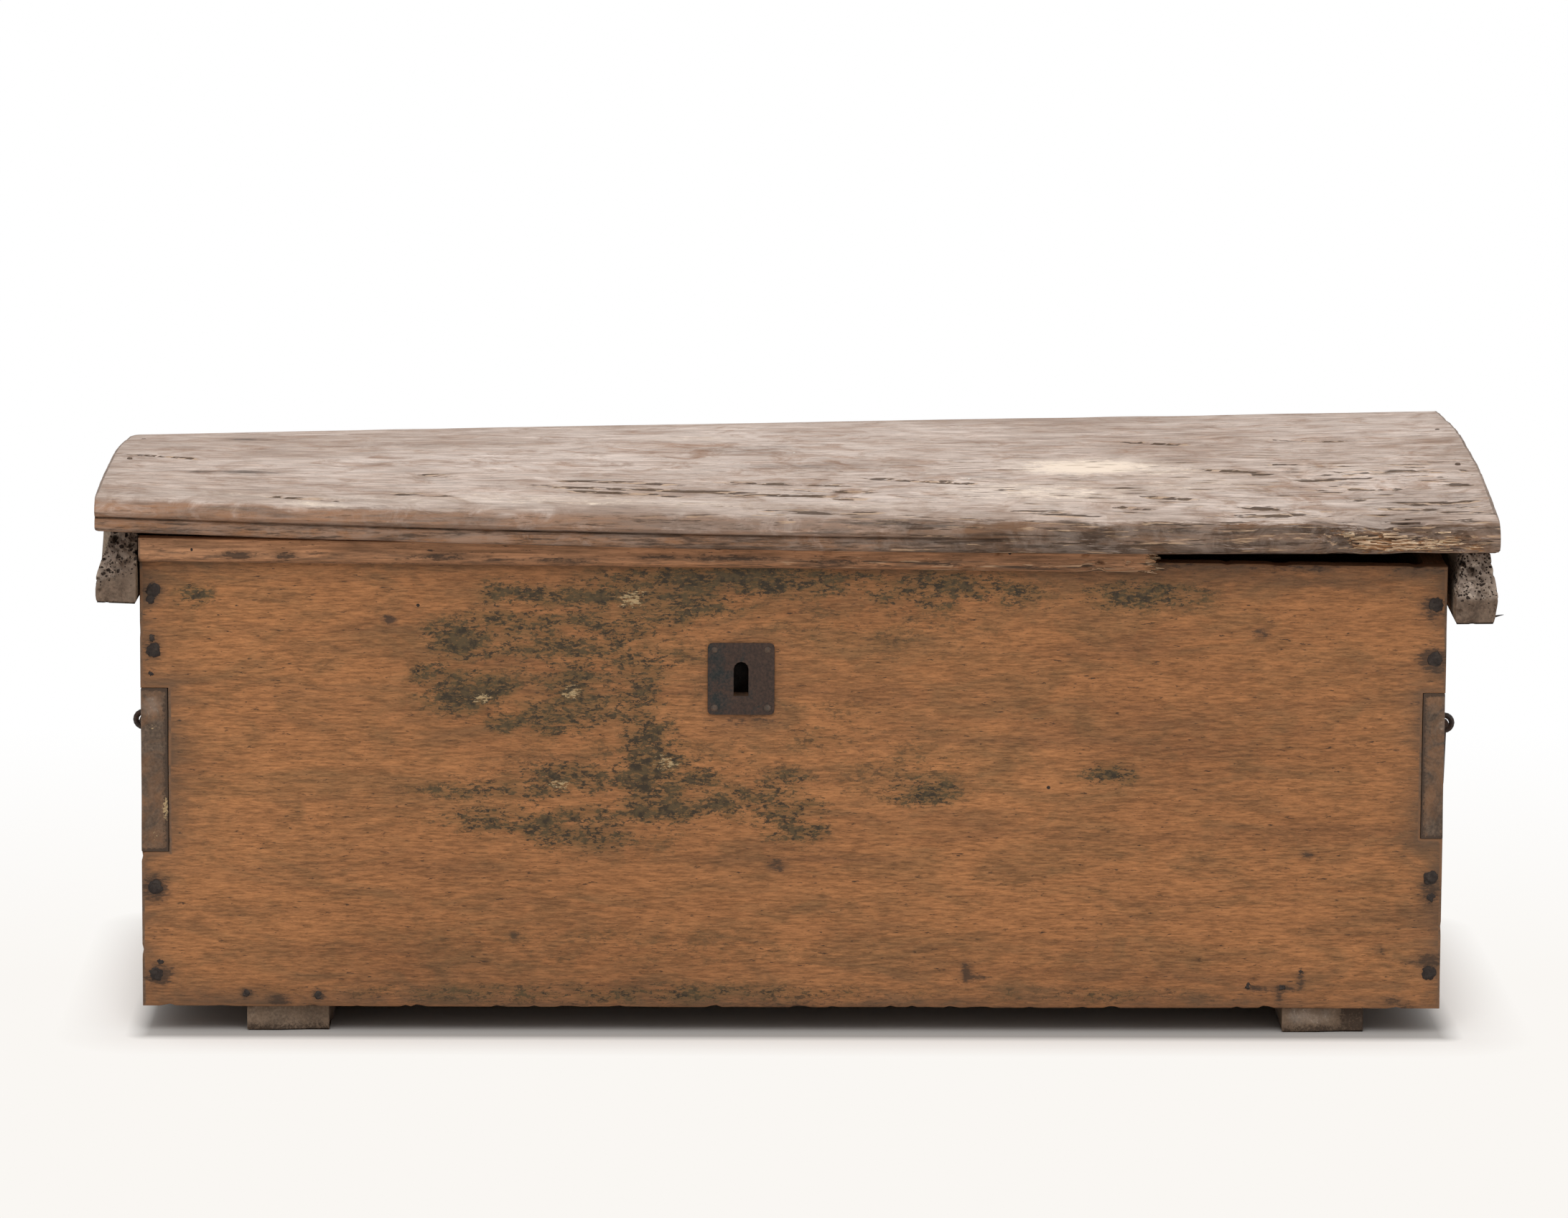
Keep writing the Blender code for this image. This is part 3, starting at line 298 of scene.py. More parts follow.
# %% A board from its lattice
def slab(name, us, vs, ws, place, keep=None, wear=0.0015, chips=None, relief=None, carve=None, seed=1):
    """A closed mesh round a lattice of u, v (the board's face) and w (its thickness).

    place turns (u, v, w) into points, keep(u, v) says which cells are wood, chips(u, v) is how far an edge
    is broken back, relief(u, v) how far the faces sink and carve(points) moves finished points.
    """
    shape = (len(us), len(vs), len(ws))
    wood = np.ones((shape[0] - 1, shape[1] - 1), bool)
    if keep:
        middle_u, middle_v = ((grid[1:] + grid[:-1]) / 2 for grid in (us, vs))
        wood &= keep(middle_u[:, None], middle_v[None, :])
    quads = skin(wood, np.arange(np.prod(shape)).reshape(shape))
    on_rim, inward_u, inward_v = rim_of(wood)

    u, v, w = (grid.copy() for grid in np.meshgrid(us, vs, ws, indexing="ij"))
    pull = rubbed_round(u, v, w, ws[-1], wear, seed)
    if chips:
        pull = pull + chips(u, v)
    if relief:
        sink = relief(u[:, :, 0], v[:, :, 0])
        w[:, :, 0] += sink
        w[:, :, -1] -= sink
    points = place(u + inward_u[:, :, None] * pull, v + inward_v[:, :, None] * pull, w).reshape(-1, 3)
    edge_points = points.reshape(*shape, 3)[on_rim].reshape(-1, 3)
    end = np.repeat((inward_u != 0)[:, :, None], shape[2], 2).reshape(-1).astype(float)

    used, quads = np.unique(quads, return_inverse=True)
    quads = quads.reshape(-1, 4)
    points = points[used]
    cut = carve(points) if carve else np.zeros_like(points)
    piece = piece_of(name, points + cut, quads)
    # How deep each point was cut: the woods darken cut hollows by it, a painted shade.
    give(piece, "carved", np.linalg.norm(cut, axis=1) / DEEP_CUT)
    give(piece, "end", end[used])
    give(piece, "edge", edge_closeness(points, edge_points))
    return piece


def edge_closeness(points, edge_points, reach=0.014):
    """1 on an edge of the board, fading to 0 a few reaches away."""
    tree = KDTree(len(edge_points))
    for number, point in enumerate(edge_points):
        tree.insert(point, number)
    tree.balance()
    far = np.array([tree.find(point)[2] for point in points])
    return np.exp(-far / reach)


# %% [markdown]
# ## Pieces and their zones
#
# A piece is a mesh at the origin. Each of its points can carry numbers under a name, called zones here, and
# a material reads them to know where the paint, dirt or rot is. Painted textures could do the same, but they
# would need an unwrapped mesh and would not follow the boards if the solids change.


# %% Make, mark and settle a piece
def linked(name, data):
    """A new object at the origin of the scene."""
    thing = bpy.data.objects.new(name, data)
    bpy.context.scene.collection.objects.link(thing)
    return thing


def shade(mesh, sharp):
    """Smooth shading, except across edges sharper than this many degrees."""
    mesh.shade_smooth()
    mesh.set_sharp_from_angle(angle=math.radians(sharp))


def piece_of(name, points, quads, sharp=50):
    """A smooth-shaded mesh object at the origin, with its faces pointing out."""
    a, b, c, d = (points[quads[:, n]] for n in range(4))
    volume = (np.cross(b - a, c - a) * a).sum() + (np.cross(c - a, d - a) * a).sum()
    mesh = bpy.data.meshes.new(name)
    mesh.from_pydata(points.tolist(), [], (quads if volume > 0 else quads[:, ::-1]).tolist())
    shade(mesh, sharp)
    return linked(name, mesh)


def give(piece, label, values):
    """Store one number for each point of a piece, for its material to read."""
    layer = piece.data.attributes.new(label, "FLOAT", "POINT")
    layer.data.foreach_set("value", np.asarray(values, np.float32))


def places_of(piece):
    """A piece's points as an array."""
    flat = np.empty(len(piece.data.vertices) * 3, np.float32)
    piece.data.vertices.foreach_get("co", flat)
    return flat.reshape(-1, 3).astype(float)


def settle(piece, finish, body, slot, *nodes):
    """Finish a piece: its material, the body that it rides on and the solids it stands for. The slot is not
    used.
    """
    piece.data.materials.clear()
    piece.data.materials.append(finish)
    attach(piece, body)
    if nodes:
        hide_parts(*nodes)
    count = sum(len(face.vertices) - 2 for face in piece.data.polygons)
    print(f"{piece.name}: {count} triangles on {body}")


# %% [markdown]
# ## Finishes
#
# Pine is drawn by three things at three scales: broad bands from its growth rings, fine fibres along the
# grain and soft blotches of age. They are one node group, placed in each wood with its own values. Flaked
# remnants, open checks and worm holes are groups too, because several woods have them. Only colours and
# masks leave a group: the shader stays in each material.

# %% Helpers for node trees
MIX_PART, MIX_A, MIX_B, MIX_RESULT = 0, 6, 7, 2
PICTURE_WHITE = 255


class Nodes:
    """Adds nodes to one tree: an input is given a socket to link or a plain value."""

    def __init__(self, tree):
        self.tree = tree

    def link(self, value, socket):
        self.tree.links.new(value, socket)

    def add(self, kind, inputs=None, **settings):
        node = self.tree.nodes.new(kind)
        for name, value in settings.items():
            setattr(node, name, value)
        for key, value in (inputs or {}).items():
            if isinstance(value, bpy.types.NodeSocket):
                self.link(value, node.inputs[key])
            else:
                node.inputs[key].default_value = value
        return node

    def math(self, operation, a, b=0.0):
        return self.add("ShaderNodeMath", {0: a, 1: b}, operation=operation).outputs[0]

    def plus(self, a, b):
        return self.math("ADD", a, b)

    def minus(self, a, b):
        return self.math("SUBTRACT", a, b)

    def times(self, a, b):
        return self.math("MULTIPLY", a, b)

    def vector(self, operation, a, b=(0.0, 0.0, 0.0)):
        return self.add("ShaderNodeVectorMath", {0: a, 1: b}, operation=operation).outputs[0]

    def blend(self, part, a, b, kind="MIX"):
        inputs = {MIX_PART: part, MIX_A: a, MIX_B: b}
        return self.add("ShaderNodeMix", inputs, data_type="RGBA", blend_type=kind).outputs[MIX_RESULT]

    def rescale(self, value, low, high, to_low=0.0, to_high=1.0):
        inputs = {"Value": value, "From Min": low, "From Max": high, "To Min": to_low, "To Max": to_high}
        return self.add("ShaderNodeMapRange", inputs).outputs["Result"]

    def noise(self, vector, scale, detail=4.0, rough=0.6, distortion=0.0):
        inputs = {
            "Vector": vector, "Scale": scale, "Detail": detail, "Roughness": rough, "Distortion": distortion,
        }
        return self.add("ShaderNodeTexNoise", inputs).outputs["Fac"]

    def lengthen(self, vector, share):
        """Squeeze a place along x, so that what is drawn there runs longer with the grain."""
        long = self.add("ShaderNodeCombineXYZ", {0: share, 1: 1.0, 2: 1.0}).outputs[0]
        return self.vector("MULTIPLY", vector, long)

    def zone(self, label):
        """A number that the piece stores at its points."""
        return self.add("ShaderNodeAttribute", attribute_name=label).outputs["Fac"]

    def deliver(self, out, results):
        """Link results to a group's outputs by name."""
        for label, value in results.items():
            self.link(value, out.inputs[label])
        return self.tree


def linear(colour, share=1.0):
    """A picture's colour, 0 to 255, times a share, in the shader's linear values: the sRGB curve."""
    parts = (c * share / PICTURE_WHITE for c in colour)
    return (*(p / 12.92 if p <= 0.04045 else ((p + 0.055) / 1.055) ** 2.4 for p in parts), 1.0)


def group(name, inputs, outputs):
    """An empty shader node group with float inputs (or vectors) and outputs."""
    tree = bpy.data.node_groups.new(name, "ShaderNodeTree")
    for label, default in inputs.items():
        kind = "NodeSocketVector" if default is None else "NodeSocketFloat"
        socket = tree.interface.new_socket(label, in_out="INPUT", socket_type=kind)
        if default is not None:
            socket.default_value = default
    for label in outputs:
        tree.interface.new_socket(label, in_out="OUTPUT", socket_type="NodeSocketFloat")
    made = Nodes(tree)
    return made, made.add("NodeGroupInput").outputs, made.add("NodeGroupOutput")


print("middle grey:", round(linear((128, 128, 128))[0], 4))

# %% [markdown]
# ## Groups that the woods share
#
# Stretching a noise along the grain turns dots into streaks, so every part of the figure is a noise with its
# own stretch. Remnants are a zone, broken up by a coarse and a fine noise: the crisp mask is what still
# sticks, and the soft film is what it stained. A worm hole is a cell of a Voronoi texture, picked by chance.

# %% Values of the groups
# A noise is its scale, detail, roughness and distortion. A kind leaves the scale to the group's input.
MIDDLE = 0.5
BLOTCHES = (7.0, 4.0, 0.55, 0.3)
BANDS = (22.0, 5.0, 0.6, 1.2)
BAND_LENGTH = 0.3
MOTTLES = (32.0, 6.0, 0.68, 1.0)
FLECKS = (520.0, 4.0, 0.66, 0.2)
FLECK_LENGTH = 0.6
HAIR_LINES = (120.0, 4.0, 0.55, 0.25)
HAIR_WIDTH = 0.022
STREAK_KIND = (6.0, 0.64, 0.4)
FIBRE_KIND = (4.0, 0.72, 0.2)
PATCH_KIND = (4.0, 0.65, 0.5)
PATCH_SHARE = 0.48
SPECK_KIND = (4.0, 0.74, 0.2)
SPECK_FINER = 7.0
ZONE_SHARE = 0.9
ZONE_EDGE = (0.06, 0.32)
FILM_EDGE = (-0.45, 0.3)
CHECK_KIND = (3.0, 0.6, 0.35)
CHECK_STRETCH = 0.08
CHECK_ZONE = (0.03, 0.12)
CHECK_OPEN = (0.64, 0.68)
HOLE_WOBBLE = (500.0, 2.0)
HOLE_LEAST = 0.5


# %% Figure of pine, flaked remnants, open checks and worm holes
def make_pine_figure():
    n, given, out = group(
        "pine figure",
        {"Grain": None, "Streaks": 110.0, "Fibres": 460.0, "Length": 0.06, "Spread": 0.4},
        ("Blotch", "Bands", "Mottle", "Streaks", "Fibres", "Flecks", "Lines"),
    )
    drawn = n.lengthen(given["Grain"], given["Length"])
    spread = n.lengthen(given["Grain"], given["Spread"])
    off_line = n.math("ABSOLUTE", n.minus(n.noise(drawn, *HAIR_LINES), MIDDLE))
    return n.deliver(out, {
        "Blotch": n.noise(spread, *BLOTCHES),
        "Bands": n.noise(n.lengthen(spread, BAND_LENGTH), *BANDS),
        "Mottle": n.noise(spread, *MOTTLES),
        "Streaks": n.noise(drawn, given["Streaks"], *STREAK_KIND),
        "Fibres": n.noise(drawn, given["Fibres"], *FIBRE_KIND),
        "Flecks": n.noise(n.lengthen(spread, FLECK_LENGTH), *FLECKS),
        "Lines": n.rescale(off_line, 0.0, HAIR_WIDTH, 1.0, 0.0),
    })


def make_remnants():
    n, given, out = group(
        "flaked remnants",
        {"Grain": None, "Zone": 0.0, "Scale": 45.0, "Cover": 0.7, "Crisp": 9.0, "Length": 0.32, "Break": 2.7},
        ("Mask", "Film"),
    )
    drawn = n.lengthen(given["Grain"], given["Length"])
    patch = n.minus(n.noise(drawn, given["Scale"], *PATCH_KIND), MIDDLE)
    speck = n.minus(n.noise(drawn, n.times(given["Scale"], SPECK_FINER), *SPECK_KIND), MIDDLE)
    patchy = n.times(patch, n.times(given["Break"], PATCH_SHARE))
    broad = n.minus(n.plus(n.times(given["Zone"], ZONE_SHARE), patchy), given["Cover"])
    level = n.plus(broad, n.times(speck, given["Break"]))
    inside = n.rescale(given["Zone"], *ZONE_EDGE)
    crisp = n.rescale(n.times(level, given["Crisp"]), 0.0, 1.0)
    film = n.rescale(broad, *FILM_EDGE)
    return n.deliver(out, {"Mask": n.times(crisp, inside), "Film": n.times(film, inside)})


def make_checks():
    n, given, out = group(
        "open checks", {"Grain": None, "Zone": 0.0, "Scale": 330.0, "Gape": 0.19}, ("Mask",)
    )
    torn = n.noise(n.lengthen(given["Grain"], CHECK_STRETCH), given["Scale"], *CHECK_KIND)
    level = n.plus(torn, n.times(given["Zone"], given["Gape"]))
    inside = n.rescale(given["Zone"], *CHECK_ZONE)
    return n.deliver(out, {"Mask": n.times(n.rescale(level, *CHECK_OPEN), inside)})


def make_worm_holes():
    n, given, out = group(
        "worm holes", {"Place": None, "Scale": 60.0, "Size": 0.1, "Share": 0.1}, ("Hole",)
    )
    wobble = n.plus(n.noise(given["Place"], *HOLE_WOBBLE), HOLE_LEAST)
    cell = n.add("ShaderNodeTexVoronoi", {"Vector": given["Place"], "Scale": given["Scale"]}).outputs
    chance = n.add("ShaderNodeSeparateColor", {0: cell["Color"]}).outputs
    reach = n.times(n.times(given["Size"], chance[1]), wobble)
    near = n.math("LESS_THAN", cell["Distance"], reach)
    lucky = n.math("LESS_THAN", chance[0], given["Share"])
    return n.deliver(out, {"Hole": n.times(near, lucky)})


PINE_FIGURE = make_pine_figure()
REMNANTS = make_remnants()
CHECKS = make_checks()
WORM_HOLES = make_worm_holes()
print("shared groups:", [tree.name for tree in (PINE_FIGURE, REMNANTS, CHECKS, WORM_HOLES)])

# %% [markdown]
# ## The woods
#
# One function makes every pine on the chest, because the boards differ by values and not by kind: the
# colours between which the figure moves, how grey and how dirty the wood is, and how much of the old paint is
# left. A piece's points carry the zones that say where on it each of these is: mould for the paint, flake for
# bare chips in it, pale, dark, warm, weather, crack, rot and worm, besides the edge, end and carved zones
# that every lattice has. The dark zone is mostly stains and dirt, but on some pieces it is painted shade:
# along the moulding's foot, round the lock plate, in the keyhole and on the right runner. The carved zone
# makes cut hollows darker with their depth, which is painted shade too.

# %% The wood's own figure
# A look says how strongly each part of the figure shows.
PLAIN_LOOK = {
    "band": 0.55, "tinge": 0.8, "streak": 0.25, "fibre": 0.65, "fleck": 0.95, "lines": 0.1, "arris": 0.3,
}
WEATHERED_LOOK = {
    "band": 0.45, "tinge": 0.8, "streak": 0.32, "fibre": 0.56, "fleck": 0.5, "lines": 0.25, "arris": 0.15,
}
FRONT_LOOK = {
    "band": 0.5, "tinge": 0.66, "streak": 0.3, "fibre": 0.75, "fleck": 1.0, "lines": 0.2, "arris": 0.3,
}
# Part of the figure, the values between which it sets in, its strength in the look, and the colour.
FIGURE_STEPS = (
    ("Bands", 0.5, 0.68, "band", "dark"),
    ("Bands", 0.5, 0.32, "band", "pale"),
    ("Mottle", 0.46, 0.68, "tinge", "tinge"),
    ("Streaks", 0.5, 0.72, "streak", "dark"),
    ("Streaks", 0.5, 0.3, "streak", "pale"),
)
BLOTCH_RANGE = (0.35, 0.65)
FIBRE_RANGE = (0.36, 0.64)
FIBRE_DARKEN, FIBRE_LIGHTEN = 0.5, 0.4
FLECK_RANGE = (0.62, 0.70)
FLECK_SHARE = 0.62
LINE_PATCHES = (0.4, 0.6)


def placed(n, tree, **inputs):
    """Put a shared group in a material, with its own values."""
    return n.add("ShaderNodeGroup", inputs, node_tree=tree).outputs


def new_finish(name):
    finish = bpy.data.materials.new(name)
    finish.use_nodes = True
    n = Nodes(finish.node_tree)
    return finish, n, finish.node_tree.nodes["Principled BSDF"]


def grey(n, value):
    """A number as a colour, to multiply by."""
    return n.add("ShaderNodeCombineColor", {0: value, 1: value, 2: value}).outputs[0]


def bare_wood(n, figure, pale, main, dark, tinge, look):
    """The wood's own figure: blotches, bands, a tinge of age, streaks, fibres, flecks and hair lines."""
    colours = {"pale": linear(pale), "dark": linear(dark), "tinge": linear(tinge)}
    wood = n.blend(n.rescale(figure["Blotch"], *BLOTCH_RANGE), linear(main), colours["pale"])
    for part, low, high, strength, colour in FIGURE_STEPS:
        wood = n.blend(n.rescale(figure[part], low, high, 0.0, look[strength]), wood, colours[colour])
    fibre = look["fibre"]
    light = n.rescale(figure["Fibres"], *FIBRE_RANGE, 1 - FIBRE_DARKEN * fibre, 1 + FIBRE_LIGHTEN * fibre)
    wood = n.blend(1.0, wood, grey(n, light), "MULTIPLY")
    deep = linear(dark, FLECK_SHARE)
    wood = n.blend(n.rescale(figure["Flecks"], *FLECK_RANGE, 0.0, look["fleck"]), wood, deep)
    drawn = n.times(figure["Lines"], n.rescale(figure["Mottle"], *LINE_PATCHES, 0.0, look["lines"]))
    return n.blend(drawn, wood, deep)


# %% [markdown]
# ## What age did to the wood
#
# Each kind of wear is a step that takes the colour so far and lays its own over it, where its zone is. They
# come in the order in which they happened: the wood greyed or kept its brown, dirt and stains settled, paint
# was put on and flaked off, and then rot, cracks and worms broke the surface. Three steps also paint light
# and shade: the dark step carries some painted shadows, carved hollows are darkened by their depth, and
# each check has a painted highlight on its far lip.

# %% Colours and values of ageing
# Darkens open checks, and is also the painted shade of carved hollows.
CRACK_AND_HOLLOW_SHADE = (64, 48, 36)
STAIN_AND_SHADE_COLOUR = (53, 40, 30)
HOLE_SHADE = (38, 27, 20)
SPOT_SHADE = (236, 232, 226)
# The pale lip behind each check is a painted highlight.
LIP_HIGHLIGHT = (190, 158, 126)
LIP_SHIFT = (0.0, 0.0017, 0.0)
LIP_HIGHLIGHT_SHARE, OPEN_SHARE = 0.5, 0.85
END_PORES = (420.0, 3.0, 0.6)
END_PORE_RANGE = (0.35, 0.65)
END_PORE_SHARE = 0.72
END_WORN = (60.0, 5.0, 0.7, 0.8)
END_WORN_LIGHT = (0.36, 0.64, 0.62, 1.22)
END_ZONE = (0.55, 0.95)
WARM_SHADES = ((150, 102, 65), (98, 69, 49))
WARM_PATCHES = 2.4
WARM_RANGE = (0.2, 0.85)
WARM_ZONE = (0.0, 0.7)
WARM_FIBRES = (0.30, 0.54, 0.62, 1.0)
WARM_STREAKS = (0.46, 0.60)
WEATHER_SHADES = ((120, 88, 65), (50, 35, 25))
WEATHER_STREAKS = (0.40, 0.60)
DIRT_MOTTLE = (0.32, 0.64, 0.25, 1.3)
ARRIS_EDGE = (0.90, 0.99)
ARRIS_MOTTLE = (0.4, 0.6)
PAINT_SHADES = ((31, 26, 16), (72, 58, 35))
PAINT_NOISE = (150.0, 4.0, 0.65)
PAINT_RANGE = (0.42, 0.58)
ROT_STRANDS = (300.0, 5.0, 0.72, 0.9)
ROT_STRETCH = 0.16
ROT_SHADES = ((56, 38, 27), (154, 108, 70), (214, 194, 166))
ROT_BROWN, ROT_PALE = (0.40, 0.54), (0.53, 0.64)
HOLES = {"Scale": 85.0, "Size": 0.13}
SPOTS = {"Scale": 34.0, "Size": 0.06}
# Scale, size and most share of the holes in worm-eaten wood.
WORM_HOLE_KINDS = ((430.0, 0.55, 0.85), (240.0, 0.5, 0.55))
# How the remnants of each zone are broken up.
REMNANT_KINDS = {
    "weather": {"Scale": 40.0, "Cover": 0.33, "Crisp": 2.2, "Length": 0.12},
    "pale": {"Scale": 22.0, "Cover": 0.55, "Crisp": 1.6, "Length": 0.5},
    "dark": {"Scale": 60.0, "Cover": 0.48, "Crisp": 2.4},
    "mould": {"Scale": 66.0, "Cover": 0.48, "Crisp": 4.0, "Length": 0.42, "Break": 5.5},
    "flake": {"Scale": 90.0, "Cover": 0.62, "Crisp": 6.0},
    "rot": {"Scale": 50.0, "Cover": 0.5, "Crisp": 3.0},
}
# What remnants lay over the wood: which result, its share and its colour.
PALE_COATS = (("Film", 0.45, linear((232, 216, 202))), ("Mask", 0.8, linear((247, 228, 208))))
# Stains and dirt, and also the painted shade that some pieces carry in their dark zone.
STAIN_AND_SHADE_COATS = (("Film", 0.4, linear(STAIN_AND_SHADE_COLOUR, 1.35)), ("Mask", 0.8, linear(STAIN_AND_SHADE_COLOUR)))
PAINT_FILM = ("Film", 0.78, linear((95, 73, 43)))
PAINT_SHARE = 0.9
FLAKE_COATS = (("Mask", 0.75, linear((178, 152, 112))),)


# %% Steps of ageing
def left_of(n, zone, along, **values):
    """The remnants in one of a piece's zones."""
    return placed(n, REMNANTS, Grain=along, Zone=n.zone(zone), **REMNANT_KINDS[zone], **values)


def coated(n, wood, remnants, coats):
    """Wood under the films and flakes of some remnants."""
    for result, share, colour in coats:
        wood = n.blend(n.times(remnants[result], share), wood, colour)
    return wood


def with_end_grain(n, wood, place, end):
    """End grain on a board's ends: dark pores, and patches worn lighter or darker."""
    pores = n.rescale(n.noise(place, *END_PORES), *END_PORE_RANGE)
    end_wood = n.blend(pores, linear(end, END_PORE_SHARE), linear(end))
    worn = n.rescale(n.noise(place, *END_WORN), *END_WORN_LIGHT)
    end_wood = n.blend(1.0, end_wood, grey(n, worn), "MULTIPLY")
    return n.blend(n.rescale(n.zone("end"), *END_ZONE), wood, end_wood)


def warmed(n, wood, figure):
    """Wood that kept its brown, in streaks and patches."""
    patchy = n.times(n.minus(figure["Mottle"], MIDDLE), WARM_PATCHES)
    warmth = n.rescale(n.plus(n.zone("warm"), patchy), *WARM_RANGE)
    warmth = n.times(warmth, n.rescale(n.zone("warm"), *WARM_ZONE))
    warmth = n.times(warmth, n.rescale(figure["Fibres"], *WARM_FIBRES))
    browns = n.blend(n.rescale(figure["Streaks"], *WARM_STREAKS), *map(linear, WARM_SHADES))
    return n.blend(warmth, wood, browns)


def weathered(n, wood, figure, along):
    """Wood that rain and sun have streaked dark."""
    streaks = n.blend(n.rescale(figure["Streaks"], *WEATHER_STREAKS), *map(linear, WEATHER_SHADES))
    return n.blend(left_of(n, "weather", along)["Mask"], wood, streaks)


def with_edges(n, wood, figure, pale, grime, edge_grime, arris):
    """Dirt that gathers towards a board's edges, and arrises rubbed pale."""
    darkening = n.times(n.times(n.zone("edge"), edge_grime), n.rescale(figure["Mottle"], *DIRT_MOTTLE))
    wood = n.blend(darkening, wood, linear(grime))
    rubbed = n.rescale(n.zone("edge"), *ARRIS_EDGE, 0.0, arris)
    return n.blend(n.times(rubbed, n.rescale(figure["Mottle"], *ARRIS_MOTTLE)), wood, linear(pale))


def painted(n, wood, along):
    """Old paint, flaked to islands over its stain. Also gives the mask of what still sticks."""
    mould = left_of(n, "mould", along)
    paint = n.blend(n.rescale(n.noise(along, *PAINT_NOISE), *PAINT_RANGE), *map(linear, PAINT_SHADES))
    return coated(n, wood, mould, (PAINT_FILM, ("Mask", PAINT_SHARE, paint))), mould["Mask"]


def rotted(n, wood, along):
    """Loose strands where the wood has rotted. Also gives their height."""
    strands = n.noise(n.lengthen(along, ROT_STRETCH), *ROT_STRANDS)
    hollow, brown, fibre = map(linear, ROT_SHADES)
    rotten = n.blend(n.rescale(strands, *ROT_BROWN), hollow, brown)
    rotten = n.blend(n.rescale(strands, *ROT_PALE), rotten, fibre)
    mask = left_of(n, "rot", along)["Mask"]
    return n.blend(mask, wood, rotten), n.times(mask, strands)


def checked(n, wood, along):
    """Open checks, each with a pale lip behind it that is a painted highlight. Also gives the mask of the
    checks.
    """
    crack = n.zone("crack")
    open_at = placed(n, CHECKS, Grain=along, Zone=crack)["Mask"]
    lit_lip = placed(n, CHECKS, Grain=n.vector("ADD", along, LIP_SHIFT), Zone=crack)["Mask"]
    # A painted highlight on the far lip of each check.
    wood = n.blend(n.times(lit_lip, LIP_HIGHLIGHT_SHARE), wood, linear(LIP_HIGHLIGHT))
    return n.blend(n.times(open_at, OPEN_SHARE), wood, linear(CRACK_AND_HOLLOW_SHADE)), open_at


def wormed(n, wood, place, holes, specks, eaten):
    """Worm holes and pale specks. Also gives the mask of the holes."""
    bored = placed(n, WORM_HOLES, Place=place, Share=holes, **HOLES)["Hole"]
    if eaten:
        for scale, size, most in WORM_HOLE_KINDS:
            share = n.times(n.zone("worm"), most)
            more = placed(n, WORM_HOLES, Place=place, Scale=scale, Size=size, Share=share)["Hole"]
            bored = n.math("MAXIMUM", bored, more)
    wood = n.blend(bored, wood, linear(HOLE_SHADE))
    spots = placed(n, WORM_HOLES, Place=place, Share=specks, **SPOTS)["Hole"]
    return n.blend(spots, wood, linear(SPOT_SHADE)), bored


# %% A pine finish
GRAIN_TURN = {"x": (0.0, 0.0, 0.0), "y": (0.0, 0.0, math.pi / 2)}
OLD_TINGE = (112, 92, 56)
GRIME = (84, 64, 48)
END_GREY = (112, 92, 76)
CARVED_RANGE = (0.25, 0.9)
GLOSS_FIBRES = (0.3, 0.7)
GLOSS_DULL, GLOSS_SHINY = 0.1, 0.08
PAINT_GLOSS = 0.12
FIBRE_HEIGHT, STREAK_HEIGHT, PAINT_HEIGHT, STRAND_HEIGHT = 0.6, 0.8, 0.25, 3.0
CHECK_DEPTH, HOLE_DEPTH, LINE_DEPTH = 1.6, 2.0, 0.25
BUMP_DISTANCE = 0.0012
WOOD_SPECULAR = 0.3


def roughen(n, shader, height, strength):
    """Give a shader the fine relief of a height."""
    inputs = {"Strength": strength, "Distance": BUMP_DISTANCE, "Height": height}
    n.link(n.add("ShaderNodeBump", inputs).outputs["Normal"], shader.inputs["Normal"])


